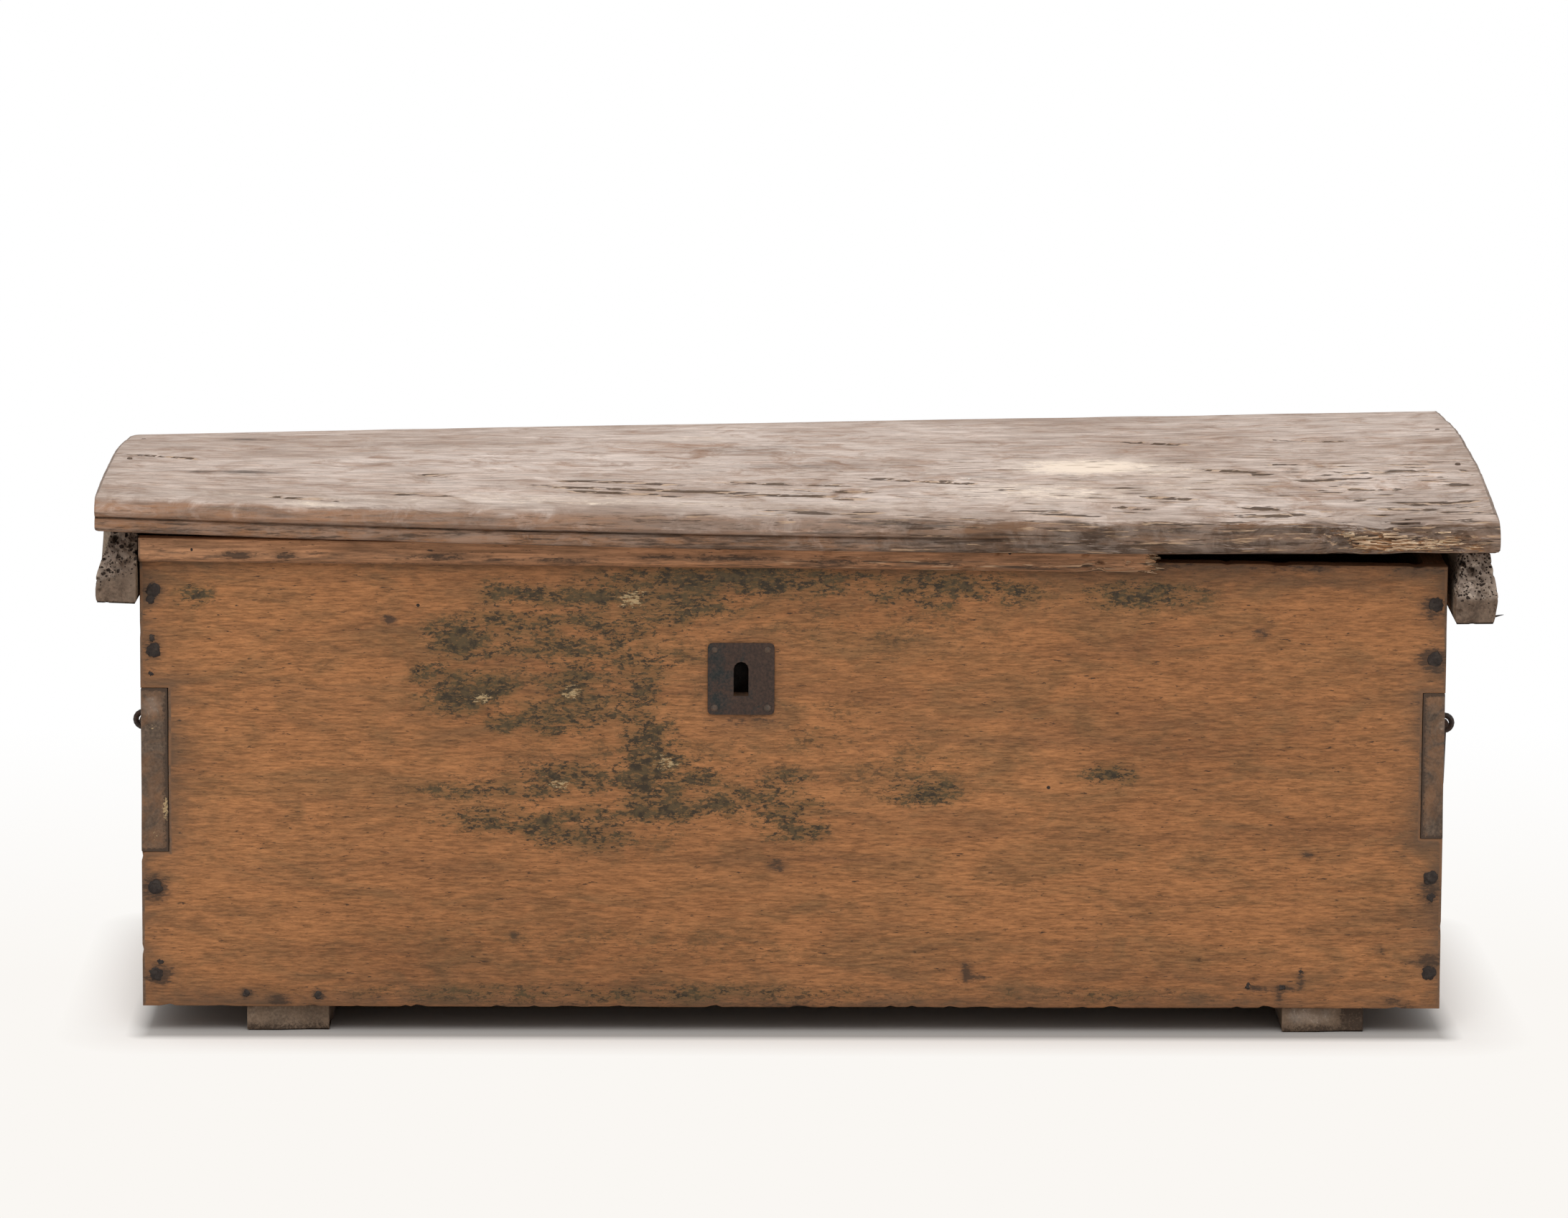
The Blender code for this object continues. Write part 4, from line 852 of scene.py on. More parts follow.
def pine(name, pale, main, dark, grain="x", tinge=OLD_TINGE, grime=GRIME, end=END_GREY, rough=0.72,
         look=PLAIN_LOOK, holes=0.003, edge_grime=0.5, bump=0.35, dark_length=0.32, specks=0.0, fibres=460.0,
         fibre_length=0.06, spread=0.4, hollow=0.9, eaten=False):
    """Aged pine, in a picture's colours: pale and dark are the ends that its figure moves between."""
    finish, n, shader = new_finish(name)
    place = n.add("ShaderNodeTexCoord").outputs["Object"]
    along = n.add("ShaderNodeMapping", {"Vector": place, "Rotation": GRAIN_TURN[grain]}).outputs["Vector"]
    figure = placed(n, PINE_FIGURE, Grain=along, Fibres=fibres, Length=fibre_length, Spread=spread)

    wood = bare_wood(n, figure, pale, main, dark, tinge, look)
    wood = with_end_grain(n, wood, place, end)
    wood = warmed(n, wood, figure)
    wood = weathered(n, wood, figure, along)
    wood = coated(n, wood, left_of(n, "pale", along), PALE_COATS)
    wood = with_edges(n, wood, figure, pale, grime, edge_grime, look["arris"])
    # The dark zone: stains and dirt, and on some pieces painted shade.
    wood = coated(n, wood, left_of(n, "dark", along, Length=dark_length), STAIN_AND_SHADE_COATS)
    wood, paint = painted(n, wood, along)
    wood = coated(n, wood, left_of(n, "flake", along), FLAKE_COATS)
    # Points cut deep by carving are drawn darker: painted shade in the hollows.
    wood = n.blend(n.rescale(n.zone("carved"), *CARVED_RANGE, 0.0, hollow), wood, linear(CRACK_AND_HOLLOW_SHADE))
    wood, strands = rotted(n, wood, along)
    wood, open_at = checked(n, wood, along)
    wood, bored = wormed(n, wood, place, holes, specks, eaten)
    n.link(wood, shader.inputs["Base Color"])

    gloss = n.rescale(figure["Fibres"], *GLOSS_FIBRES, rough + GLOSS_DULL, rough - GLOSS_SHINY)
    n.link(n.minus(gloss, n.times(paint, PAINT_GLOSS)), shader.inputs["Roughness"])
    height = n.plus(n.times(figure["Fibres"], FIBRE_HEIGHT), n.times(figure["Streaks"], STREAK_HEIGHT))
    for raised, amount in ((paint, PAINT_HEIGHT), (strands, STRAND_HEIGHT)):
        height = n.plus(height, n.times(raised, amount))
    line_depth = LINE_DEPTH * look["lines"]
    for sunk, depth in ((open_at, CHECK_DEPTH), (bored, HOLE_DEPTH), (figure["Lines"], line_depth)):
        height = n.minus(height, n.times(sunk, depth))
    roughen(n, shader, height, bump)
    shader.inputs["Specular IOR Level"].default_value = WOOD_SPECULAR
    return finish


# %% Every pine of the chest
FRONT_PINE = pine(
    "front pine", (155, 104, 63), (134, 88, 52), (92, 61, 39), tinge=(104, 77, 48), edge_grime=0.75,
    fibres=640.0, fibre_length=0.13, specks=0.004, look=FRONT_LOOK, spread=0.36,
)
END_PINE = pine(
    "end pine", (152, 104, 66), (132, 89, 57), (96, 65, 43), grain="y", tinge=(106, 78, 51),
    end=(97, 80, 66), holes=0.1, edge_grime=0.3, look=FRONT_LOOK, spread=0.36,
)
BACK_PINE = pine(
    "back pine", (146, 104, 70), (126, 89, 60), (94, 66, 46), tinge=(104, 80, 56), edge_grime=0.6,
    look=FRONT_LOOK, spread=0.36,
)
INNER_PINE = pine("inner pine", (168, 128, 92), (148, 110, 78), (118, 86, 60), edge_grime=0.4)
RUNNER_PINE = pine("runner pine", (128, 106, 86), (106, 86, 70), (74, 60, 49), grain="y", end=(142, 121, 101))
MOULDING_PINE = pine(
    "moulding pine", (186, 135, 97), (160, 112, 77), (88, 62, 46), tinge=(118, 84, 58), holes=0.06,
    edge_grime=0.12, look=FRONT_LOOK, spread=0.3,
)
LID_PINE = pine(
    "lid pine", (214, 197, 186), (178, 157, 143), (128, 102, 86), tinge=(156, 126, 106),
    grime=(108, 88, 72), end=(150, 131, 118), rough=0.8, look=WEATHERED_LOOK, edge_grime=0.3, bump=0.6,
    dark_length=0.1, specks=0.04, fibres=330.0, fibre_length=0.09, spread=0.8, hollow=0.3,
)
BATTEN_PINE = pine(
    "batten pine", (146, 126, 108), (112, 94, 80), (70, 56, 46), grain="y", end=(106, 87, 73), rough=0.88,
    holes=0.12, edge_grime=0.1, bump=0.8, eaten=True,
)
print("woods:", [m.name for m in bpy.data.materials if "pine" in m.name])

# %% [markdown]
# ## The irons
#
# Forged iron that was never painted goes brown-black: thin oxide over metal, with matt rust where damp
# stayed. The lock plate has a bluer oxide at its left, and rust gains on it towards the right. Its pins are
# drawn lighter than the plate: partly worn brighter, partly a painted highlight. Rust isn't metal, so the
# same mask lowers the metallic value and raises the roughness.

# %% Iron finishes
CLOUD_KIND = (6.0, 0.65, 0.4)
GRIT = (420.0, 4.0, 0.7)
DENT_KIND = (4.0, 0.6)
RUST_LEAN = (-0.12, 0.14)
RUST_FROM, RUST_FROM_COVER = 0.78, 0.4
RUST_FULL, RUST_FULL_COVER = 0.92, 0.3
METAL_GRIT, METAL_SHARE = (0.3, 0.7), 0.7
RUST_GRIT, RUST_SHARE = (0.35, 0.7), 0.6
METAL_GLEAM, RUST_GLEAM = 0.75, 0.1
RUST_ROUGH = 0.88
DENT_HEIGHT, GRIT_HEIGHT = 0.8, 0.35
IRON_BUMP = 0.5


def iron(name, metal, rust, cover, rough=0.5, pits=90.0, cloud_scale=38.0, grit_share=0.35, rust_side=None):
    """Old iron: cover says how much rust there is, and rust_side the (low, high) x that it leans across."""
    finish, n, shader = new_finish(name)
    place = n.add("ShaderNodeTexCoord").outputs["Object"]
    cloud = n.noise(place, cloud_scale, *CLOUD_KIND)
    if rust_side:
        x = n.add("ShaderNodeSeparateXYZ", {0: place}).outputs["X"]
        cloud = n.plus(cloud, n.rescale(x, *rust_side, *RUST_LEAN))
    grit = n.noise(place, *GRIT)
    patches = n.plus(cloud, n.times(grit, grit_share))
    rusty = n.rescale(patches, RUST_FROM - cover * RUST_FROM_COVER, RUST_FULL - cover * RUST_FULL_COVER)
    metal_shade = n.blend(n.rescale(grit, *METAL_GRIT), linear(metal, METAL_SHARE), linear(metal))
    rust_shade = n.blend(n.rescale(grit, *RUST_GRIT), linear(rust, RUST_SHARE), linear(rust))
    n.link(n.blend(rusty, metal_shade, rust_shade), shader.inputs["Base Color"])
    n.link(n.rescale(rusty, 0.0, 1.0, METAL_GLEAM, RUST_GLEAM), shader.inputs["Metallic"])
    n.link(n.rescale(rusty, 0.0, 1.0, rough, RUST_ROUGH), shader.inputs["Roughness"])
    dents = n.noise(place, pits, *DENT_KIND)
    roughen(n, shader, n.plus(n.times(dents, DENT_HEIGHT), n.times(grit, GRIT_HEIGHT)), IRON_BUMP)
    return finish


# %% Every iron of the chest
FORGED_IRON = iron("forged iron", (66, 60, 56), (74, 50, 38), 0.55)
NAIL_IRON = iron("nail iron", (74, 64, 57), (46, 34, 28), 0.62, rough=0.65, cloud_scale=150.0)
GREY_IRON = iron("weathered nail iron", (132, 116, 104), (112, 92, 78), 0.7, rough=0.8)
PLATE_IRON = iron(
    "lock plate iron", (49, 52, 51), (69, 50, 40), 0.75, rough=0.6, pits=140.0, cloud_scale=70.0,
    grit_share=0.4, rust_side=[corner.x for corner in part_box("lock_plate")],
)
# The pins' iron is lighter than the plate's: wear, and a painted highlight.
PIN_IRON = iron("plate pin iron", (104, 94, 86), (96, 76, 62), 0.6, rough=0.6)
print("irons:", [m.name for m in bpy.data.materials if "iron" in m.name])

# %% [markdown]
# ## The front board
#
# The wide front is a single board, notched at both ends where the end boards' tabs come through. Its face has
# been hand-planed, so it ripples a little. The lower edge is ragged from being dragged, and old green-black
# paint is left in broken patches round the lock. Where the paint is can't come from noise, so each patch is a
# soft oval that was placed one by one, and the material's noise breaks its outline.

# %% Where paint, flakes and stains are on the front
# A place is its middle (x, z), half its length, half its height and its strength.
PAINT = (
    (-0.244, 0.375, 0.019, 0.012, 0.85), (-0.193, 0.372, 0.051, 0.009, 1.00),
    (-0.098, 0.368, 0.049, 0.014, 0.90), (-0.045, 0.386, 0.101, 0.011, 1.20),
    (-0.200, 0.351, 0.084, 0.011, 0.75), (-0.130, 0.352, 0.043, 0.011, 0.70),
    (-0.283, 0.336, 0.026, 0.014, 1.05), (-0.199, 0.329, 0.074, 0.012, 0.70),
    (-0.123, 0.318, 0.024, 0.011, 0.65), (-0.283, 0.292, 0.030, 0.016, 1.10),
    (-0.303, 0.308, 0.018, 0.008, 0.75), (-0.250, 0.296, 0.016, 0.009, 0.80),
    (-0.188, 0.298, 0.018, 0.020, 0.95), (-0.160, 0.288, 0.041, 0.009, 0.75),
    (-0.126, 0.291, 0.022, 0.015, 0.70), (-0.207, 0.268, 0.031, 0.011, 1.15),
    (-0.241, 0.267, 0.018, 0.009, 0.85), (-0.160, 0.271, 0.030, 0.007, 0.70),
    (-0.123, 0.250, 0.024, 0.020, 0.80), (-0.120, 0.216, 0.027, 0.030, 1.15),
    (-0.084, 0.219, 0.016, 0.012, 0.95), (-0.118, 0.193, 0.038, 0.012, 0.95),
    (-0.196, 0.218, 0.038, 0.014, 0.75), (-0.235, 0.207, 0.074, 0.008, 0.75),
    (-0.064, 0.199, 0.027, 0.011, 0.80), (-0.220, 0.183, 0.076, 0.012, 0.75),
    (-0.182, 0.171, 0.046, 0.014, 0.80), (-0.008, 0.195, 0.032, 0.030, 0.65),
    (0.003, 0.176, 0.024, 0.011, 0.70), (0.105, 0.207, 0.030, 0.011, 0.75),
    (0.125, 0.378, 0.068, 0.014, 0.80), (0.290, 0.374, 0.049, 0.012, 0.75),
    (0.262, 0.222, 0.022, 0.008, 0.75), (-0.506, 0.373, 0.014, 0.008, 0.90),
    (-0.170, 0.320, 0.110, 0.065, 0.34), (-0.130, 0.205, 0.150, 0.050, 0.34),
    (0.060, 0.350, 0.150, 0.035, 0.22), (0.090, 0.225, 0.080, 0.040, 0.24),
    (-0.130, 0.075, 0.260, 0.025, 0.18), (-0.140, 0.034, 0.280, 0.010, 0.36),
    (0.240, 0.034, 0.120, 0.008, 0.30), (0.020, 0.260, 0.060, 0.040, 0.24),
)
FLAKES = (
    (-0.139, 0.370, 0.016, 0.009, 1.0), (-0.190, 0.291, 0.009, 0.008, 0.95),
    (-0.108, 0.231, 0.013, 0.008, 0.95), (-0.264, 0.287, 0.012, 0.008, 0.85),
    (-0.200, 0.213, 0.012, 0.005, 0.8),
)
FRONT_NAIL_STAINS = (
    (-0.540, 0.378, 0.010, 0.012, 0.9), (-0.539, 0.327, 0.009, 0.012, 0.8),
    (-0.539, 0.124, 0.012, 0.012, 1.0), (-0.535, 0.049, 0.012, 0.010, 1.0),
    (0.533, 0.366, 0.011, 0.012, 0.9), (0.534, 0.321, 0.013, 0.012, 1.0), (0.535, 0.124, 0.010, 0.016, 0.9),
    (0.535, 0.062, 0.012, 0.010, 0.9),
)
# Stains on the front, and two ovals that paint a shadow round the lock plate.
FRONT_STAINS_AND_PLATE_SHADOW = (
    (-0.016, 0.144, 0.009, 0.005, 0.85), (-0.237, 0.083, 0.004, 0.004, 0.9),
    (0.389, 0.344, 0.008, 0.005, 0.9), (0.431, 0.155, 0.006, 0.004, 0.8),
    (-0.342, 0.352, 0.006, 0.004, 0.9), (0.144, 0.052, 0.005, 0.010, 0.9),
    (0.150, 0.048, 0.014, 0.003, 0.8), (0.388, 0.0405, 0.012, 0.003, 0.9),
    (0.427, 0.046, 0.004, 0.010, 0.6), (-0.436, 0.028, 0.010, 0.004, 0.9),
    (0.505, 0.029, 0.010, 0.004, 0.6), (-0.463, 0.034, 0.006, 0.005, 1.0),
    # The second oval here and the first on the next line are the painted shadow round the lock plate, deepest
    # below it.
    (-0.402, 0.032, 0.006, 0.005, 1.0), (-0.047, 0.268, 0.036, 0.008, 0.36),
    (-0.047, 0.302, 0.034, 0.037, 0.34), (0.517, 0.024, 0.010, 0.003, 0.6),
    (0.493, 0.073, 0.003, 0.004, 0.9), (0.413, 0.039, 0.012, 0.003, 0.8), (0.409, 0.031, 0.005, 0.008, 0.6),
    (0.534, 0.063, 0.022, 0.004, 0.8), (-0.250, 0.025, 0.120, 0.004, 0.32),
    (0.000, 0.024, 0.160, 0.004, 0.32), (0.300, 0.401, 0.060, 0.007, 0.5),
    (0.420, 0.3995, 0.100, 0.007, 0.5), (0.520, 0.398, 0.050, 0.007, 0.45),
)
# Strength of the painted shade inside the keyhole.
KEYHOLE_SHADE = 3.0
NAIL_STAIN = 1.3
PAINT_REACH = 1.1
PAINT_MOST = 0.85
STAIN_AND_SHADOW_STRENGTH = 1.6
print("paint patches:", len(PAINT), "stains:", len(FRONT_NAIL_STAINS) + len(FRONT_STAINS_AND_PLATE_SHADOW))

# %% How a long board is built
GRID = 0.0045
BOARD = INNER_FRONT - FRONT
BOARD_WEAR = 0.0022
BOARD_SEED = 11
HINGE_NOTCH = 0.0045
LOW_EDGE = 0.002
BITE_SIZE, BITE_RANGE, BITE_DEPTH = (0.011, 0.05, 1.0), (0.55, 0.95), 0.0018
NICK_SIZE, NICK_RANGE, NICK_DEPTH = (0.010, 0.010, 1.0), (0.6, 0.95), 0.0012
PLANE_STROKE = (0.18, 0.045, 1.0)
KEYHOLE_ROOM = Vector((0.0066, 0.0, 0.0150))
PLATE_LOW, PLATE_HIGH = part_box("lock_plate")
KEY_MIDDLE = (PLATE_LOW + PLATE_HIGH) / 2
KEYHOLE = (KEY_MIDDLE - KEYHOLE_ROOM, KEY_MIDDLE + KEYHOLE_ROOM)


def as_share(noise):
    """Noise from -1 to 1, as a share from 0 to 1."""
    return 0.5 + 0.5 * noise


def stretched_height(v, fixed, full, top):
    """Board height to place: true up to fixed, then stretched so that full reaches the slanting top."""
    share = np.clip((v - fixed) / (full - fixed), 0.0, None)
    return BASE + np.minimum(v, fixed) + share * (top - BASE - fixed)


def edge_chips(u, v, seed):
    """Chips along a lower edge, and small ones elsewhere."""
    face = on_face(u, v)
    bite = smooth(*BITE_RANGE, ripple(face, BITE_SIZE, seed)) * BITE_DEPTH
    nick = smooth(*NICK_RANGE, ripple(face, NICK_SIZE, seed + 1)) * NICK_DEPTH
    return np.where(v < LOW_EDGE, bite, 0.0) + nick


def plane_marks(u, v, seed=3, depth=0.0005):
    """Gentle hollows left by the plane, long with the grain."""
    return depth * as_share(ripple(on_face(u, v), PLANE_STROKE, seed))


def build_long_board(name, side, inner, outer, cuts=(), keyhole=None):
    """The front or back board between its faces. Cuts are the hinge notches in its top, as (low, high) x."""
    tabs = [height - BASE for span in (LEFT_TAB, RIGHT_TAB) for height in span]
    full = RIM[side][0] - BASE
    fixed = max(tabs) + GRID
    breaks_u = [LEFT, INNER_LEFT, INNER_RIGHT, RIGHT, *itertools.chain(*cuts)]
    breaks_v = [0.0, *tabs, full]
    if cuts:
        breaks_v.append(full - HINGE_NOTCH)
    if keyhole:
        breaks_u += [corner.x for corner in keyhole]
        breaks_v += [corner.z - BASE for corner in keyhole]

    def keep(u, v):
        left = (u < INNER_LEFT) & (v > LEFT_TAB[0] - BASE) & (v < LEFT_TAB[1] - BASE)
        right = (u > INNER_RIGHT) & (v > RIGHT_TAB[0] - BASE) & (v < RIGHT_TAB[1] - BASE)
        wood = ~(left | right)
        for start, stop in cuts:
            wood &= ~((u > start) & (u < stop) & (v > full - HINGE_NOTCH))
        if keyhole:
            low, high = keyhole
            wood &= ~((u > low.x) & (u < high.x) & (v > low.z - BASE) & (v < high.z - BASE))
        return wood

    def place(u, v, w):
        y = outer + (inner - outer) * w / BOARD
        top = rim("front", u) if side == "front" else lid_seat(u, y - LID_FRONT_Y) - FIT
        return np.stack([u, y, stretched_height(v, fixed, full, top)], -1)

    return slab(
        name, lines(breaks_u, GRID), lines(breaks_v, GRID), layers(BOARD, BOARD_WEAR), place, keep,
        wear=BOARD_WEAR, chips=lambda u, v: edge_chips(u, v, BOARD_SEED), relief=plane_marks,
    )


# %% The front board and its zones
front_board = build_long_board("front_plank", "front", INNER_FRONT, FRONT, keyhole=KEYHOLE)
x, y, z = places_of(front_board).T
outside = smooth(INNER_FRONT, FRONT, y)
paint_places = [
    (*middle, long * PAINT_REACH, high * PAINT_REACH, most) for *middle, long, high, most in PAINT
]
give(front_board, "mould", np.minimum(ovals(x, z, paint_places), PAINT_MOST) * outside)
give(front_board, "flake", ovals(x, z, FLAKES) * outside)
by_nails = ovals(x, z, FRONT_NAIL_STAINS) * NAIL_STAIN
# Nail rust and stains, with the painted shadow round the lock plate.
stains_and_plate_shadow = np.maximum(by_nails, ovals(x, z, FRONT_STAINS_AND_PLATE_SHADOW) * STAIN_AND_SHADOW_STRENGTH) * outside
# The keyhole's walls are darkened right through the board: painted shade in the hole.
hole = (KEY_MIDDLE.x, KEY_MIDDLE.z, KEYHOLE_ROOM.x, KEYHOLE_ROOM.z, KEYHOLE_SHADE)
give(front_board, "dark", np.maximum(stains_and_plate_shadow, ovals(x, z, [hole])))
settle(front_board, FRONT_PINE, "chest", "warm_pine", "front_board")

# %% [markdown]
# ## Back, ends, bottom, runners and till
#
# These boards are made as the front is. The end boards have their grain from front to back, so their tabs
# show end grain in the front's notches: greyer and more open than the boards around them, with dirt in the
# joint. The runners are off-cuts whose front ends have been kicked round.

# %% The back board and the end boards
HINGE_SIDE = 0.0006
END_WEAR = 0.002
END_LAYERS = 4
END_CHIP_SEED, END_SEED = 23, 5
TAB_FACE = (0.006, 0.001)
JOINT_REACH = (0.0030, 0.0010)
JOINT_DIRT = 1.8
TAB_CHIPS = (
    (-0.5300, 0.192, 0.0025, 0.014, 1.2), (-0.540, 0.262, 0.005, 0.004, 0.8),
    (-0.536, 0.168, 0.008, 0.006, 0.5),
)
TAB_PALE = (
    (-0.541, 0.281, 0.012, 0.013, 0.42), (0.545, 0.262, 0.008, 0.016, 0.32),
)
hinge_cuts = []
for end in ("left", "right"):
    low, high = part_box(f"{end}_back_leaf")
    hinge_cuts.append((low.x - HINGE_SIDE, high.x + HINGE_SIDE))
back_board = build_long_board("back_plank", "back", INNER_BACK, BACK, hinge_cuts)
settle(back_board, BACK_PINE, "chest", "warm_pine", "back_board")


def build_end(end, outer, inner, tab):
    """An end board, with tabs that reach through the front and back boards."""
    thickness = abs(inner - outer)
    low, high = (height - BASE for height in tab)
    full = RIM["front"][0] - BASE
    front, back = INNER_FRONT + FIT, INNER_BACK - FIT
    tops = [corner_height(f"{end}_end", outer, y) for y in (front, back)]

    def keep(u, v):
        return ((u > front) & (u < back)) | ((v > low) & (v < high))

    def place(u, v, w):
        top = tops[0] + (tops[1] - tops[0]) * (u - front) / (back - front)
        height = stretched_height(v, high + GRID, full, top)
        return np.stack([outer + (inner - outer) * w / thickness, u, height], -1)

    return slab(
        f"{end}_end_plank", lines([FRONT, front, back, BACK], GRID), lines([0.0, low, high, full], GRID),
        layers(thickness, END_WEAR, END_LAYERS), place, keep, wear=END_WEAR,
        chips=lambda u, v: edge_chips(u, v, END_CHIP_SEED), relief=plane_marks, seed=END_SEED,
    )


ENDS = (("left", LEFT, INNER_LEFT, LEFT_TAB), ("right", RIGHT, INNER_RIGHT, RIGHT_TAB))
for end, outer, inner, tab in ENDS:
    board = build_end(end, outer, inner, tab)
    x, y, z = places_of(board).T
    on_tab = smooth(*(FRONT + depth for depth in TAB_FACE), y)
    joint = np.minimum(abs(x - inner), np.minimum(abs(z - tab[0]), abs(z - tab[1])))
    give(board, "dark", JOINT_DIRT * on_tab * smooth(*JOINT_REACH, joint))
    give(board, "flake", ovals(x, z, TAB_CHIPS) * on_tab)
    give(board, "pale", ovals(x, z, TAB_PALE) * on_tab)
    settle(board, END_PINE, "chest", "warm_pine", f"{end}_end")

# %% How a plain plank is built
PLANK_MARKS = {"seed": 7, "depth": 0.0003}
PLANK_ACROSS = 0.6
RUNNER_WEAR, RUNNER_STEP, RUNNER_LAYERS = 0.0042, 0.004, 4
RUNNER_BITE_SIZE, RUNNER_BITE_RANGE = (0.03, 0.02, 1.0), (0.2, 0.9)
RUNNER_BITE_SEED, RUNNER_BITE_DEPTH = 31, 0.003
# The runners grow darker towards their soles, and the right part of the right runner is darkened by a painted
# shadow.
SOLE_REACH, SOLE_DARKER = (0.010, 0.002), 0.9
RIGHT_RUNNER_DARK, RIGHT_RUNNER_SHADOW = (0.008, 0.020), 1.2
RIGHT_RUNNER_PALE = (-0.014, 0.014, 0.022, 0.008, 0.55)


def plain_plank(name, node, along, finish, wear=0.0012, step=0.009, inner=1, chips=None):
    """A plank that fills its solid's box, with its grain along x or y."""
    low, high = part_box(node)
    size = high - low
    axes = (0, 1, 2) if along == "x" else (1, 0, 2)
    if size.z > min(size.x, size.y):
        axes = (1, 2, 0) if along == "y" else (0, 2, 1)
    first, second, third = axes

    def place(u, v, w):
        parts = [None, None, None]
        parts[first], parts[second], parts[third] = low[first] + u, low[second] + v, low[third] + w
        return np.stack(parts, -1)

    plank = slab(
        name, lines([0.0, size[first]], step), lines([0.0, size[second]], step * PLANK_ACROSS),
        layers(size[third], wear, inner), place, wear=wear, chips=chips,
        relief=lambda u, v: plane_marks(u, v, **PLANK_MARKS),
    )
    settle(plank, finish, "chest", "dark_pine", node)
    return plank


def runner_chips(u, v):
    """Bites out of a runner's edges."""
    bite = ripple(on_face(u, v), RUNNER_BITE_SIZE, RUNNER_BITE_SEED)
    return smooth(*RUNNER_BITE_RANGE, bite) * RUNNER_BITE_DEPTH


# %% Bottom, till and runners
for word in ("front", "back"):
    plain_plank(f"bottom_{word}_board", f"bottom_{word}_plank", "x", INNER_PINE)
for part in ("till_side", "till_floor"):
    plain_plank(f"{part}_board", part, "y", INNER_PINE)
for end in ("left", "right"):
    runner = plain_plank(
        f"{end}_runner_block", f"{end}_runner", "y", RUNNER_PINE, wear=RUNNER_WEAR, step=RUNNER_STEP,
        inner=RUNNER_LAYERS, chips=runner_chips,
    )
    x, _, z = places_of(runner).T
    middle = (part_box(f"{end}_runner")[0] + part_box(f"{end}_runner")[1]) / 2
    # Darker towards the sole; on the right runner its right part is a painted shadow.
    darkening = smooth(*SOLE_REACH, z) * SOLE_DARKER
    if end == "right":
        shadowed = smooth(*(middle.x + reach for reach in RIGHT_RUNNER_DARK), x)
        darkening = np.maximum(darkening, shadowed * RIGHT_RUNNER_SHADOW)
        give(runner, "pale", ovals(x - middle.x, z, [RIGHT_RUNNER_PALE]))
    give(runner, "dark", darkening)

# %% [markdown]
# ## The moulding
#
# A strip of bead moulding is nailed along the top of the front. Past the right end of the lock it has been
# torn off, and a splintered end is left. The section is a flat above a quarter round, so the lattice's
# thickness follows that section and its far end is broken back by noise. Worms and weather have opened the
# lower half.

# %% How the moulding is shaped
MOULDING_HEIGHT = (0.022, 0.019)
MOULDING_FLAT = 0.55
MOULDING_FOOT = 0.0012
MOULDING_WEAR, MOULDING_STEP, MOULDING_LAYERS = 0.0013, 0.003, 3
MOULDING_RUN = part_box("front_moulding")[1].x - LEFT
FLAT_LINES = (0.0, 0.05, 0.12, 0.25, 0.37, 0.47)
ROUND_LINES = 9
TEAR_SIZE, TEAR_SEED = (1.0, 0.0030, 0.0034), 17
TEAR_RUN, TEAR_DEPTH = 0.03, 0.012
SLOT_SIZE, SLOT_SEED, SLOT_RANGE = (0.012, 1.0, 0.003), 19, (0.45, 0.8)
SLOT_PART, SLOT_LEAST = (-0.1, 0.15), 0.25
SLOT_DEPTH, SLOT_FLOOR = 0.0035, 0.0015
# A stain is its x, its drop below the stain line, its half sizes and its strength.
MOULDING_STAINS = (
    (-0.468, 0.004, 0.018, 0.004, 1.3), (-0.428, 0.004, 0.012, 0.004, 1.2),
    (-0.060, 0.000, 0.045, 0.003, 1.3), (0.030, 0.002, 0.030, 0.003, 0.9),
    (-0.300, 0.003, 0.030, 0.004, 0.95), (0.110, 0.002, 0.030, 0.003, 0.75),
    (-0.200, 0.004, 0.040, 0.003, 0.95), (0.200, 0.005, 0.020, 0.003, 0.8),
    (-0.115, 0.000, 0.020, 0.002, 1.3),
)
STAIN_LINE = 0.010
# The foot line is a painted shadow along the bottom of the moulding, where it meets the board.
FOOT_LINE, FOOT_SHADOW = (0.0155, 0.020), 0.5
LOWER_HALF = (0.005, 0.013)
LOWER_WEATHER, LOWER_CRACKS, LOWER_CRACKS_FROM = 0.42, 0.45, (-0.15, 0.10)
TORN_END = (0.020, 0.006)


def moulding_proud(share):
    """How far the section stands out: flat, then a quarter round to a thin foot."""
    turn = np.clip((share - MOULDING_FLAT) / (1 - MOULDING_FLAT), 0.0, 1.0)
    round_part = np.sqrt(np.clip(1 - turn ** 2, 0.0, 1.0))
    return np.maximum(MOULDING_FOOT, MOULDING_PROUD * round_part)


def place_moulding(u, v, w):
    """Along the strip, down it and out from the board, all in metres before the section is shaped."""
    torn = as_share(ripple(np.stack([u * 0, v, w], -1), TEAR_SIZE, TEAR_SEED))
    x = LEFT + u - smooth(MOULDING_RUN - TEAR_RUN, MOULDING_RUN, u) * TEAR_DEPTH * torn
    height = MOULDING_HEIGHT[0] + (MOULDING_HEIGHT[1] - MOULDING_HEIGHT[0]) * u / MOULDING_RUN
    share = v / MOULDING_HEIGHT[0]
    proud = FIT + (moulding_proud(share) - FIT) * w / MOULDING_PROUD
    top = lid_seat(x, FRONT - LID_FRONT_Y - proud) - FIT
    return np.stack([x, FRONT - proud, top - height * share], -1)


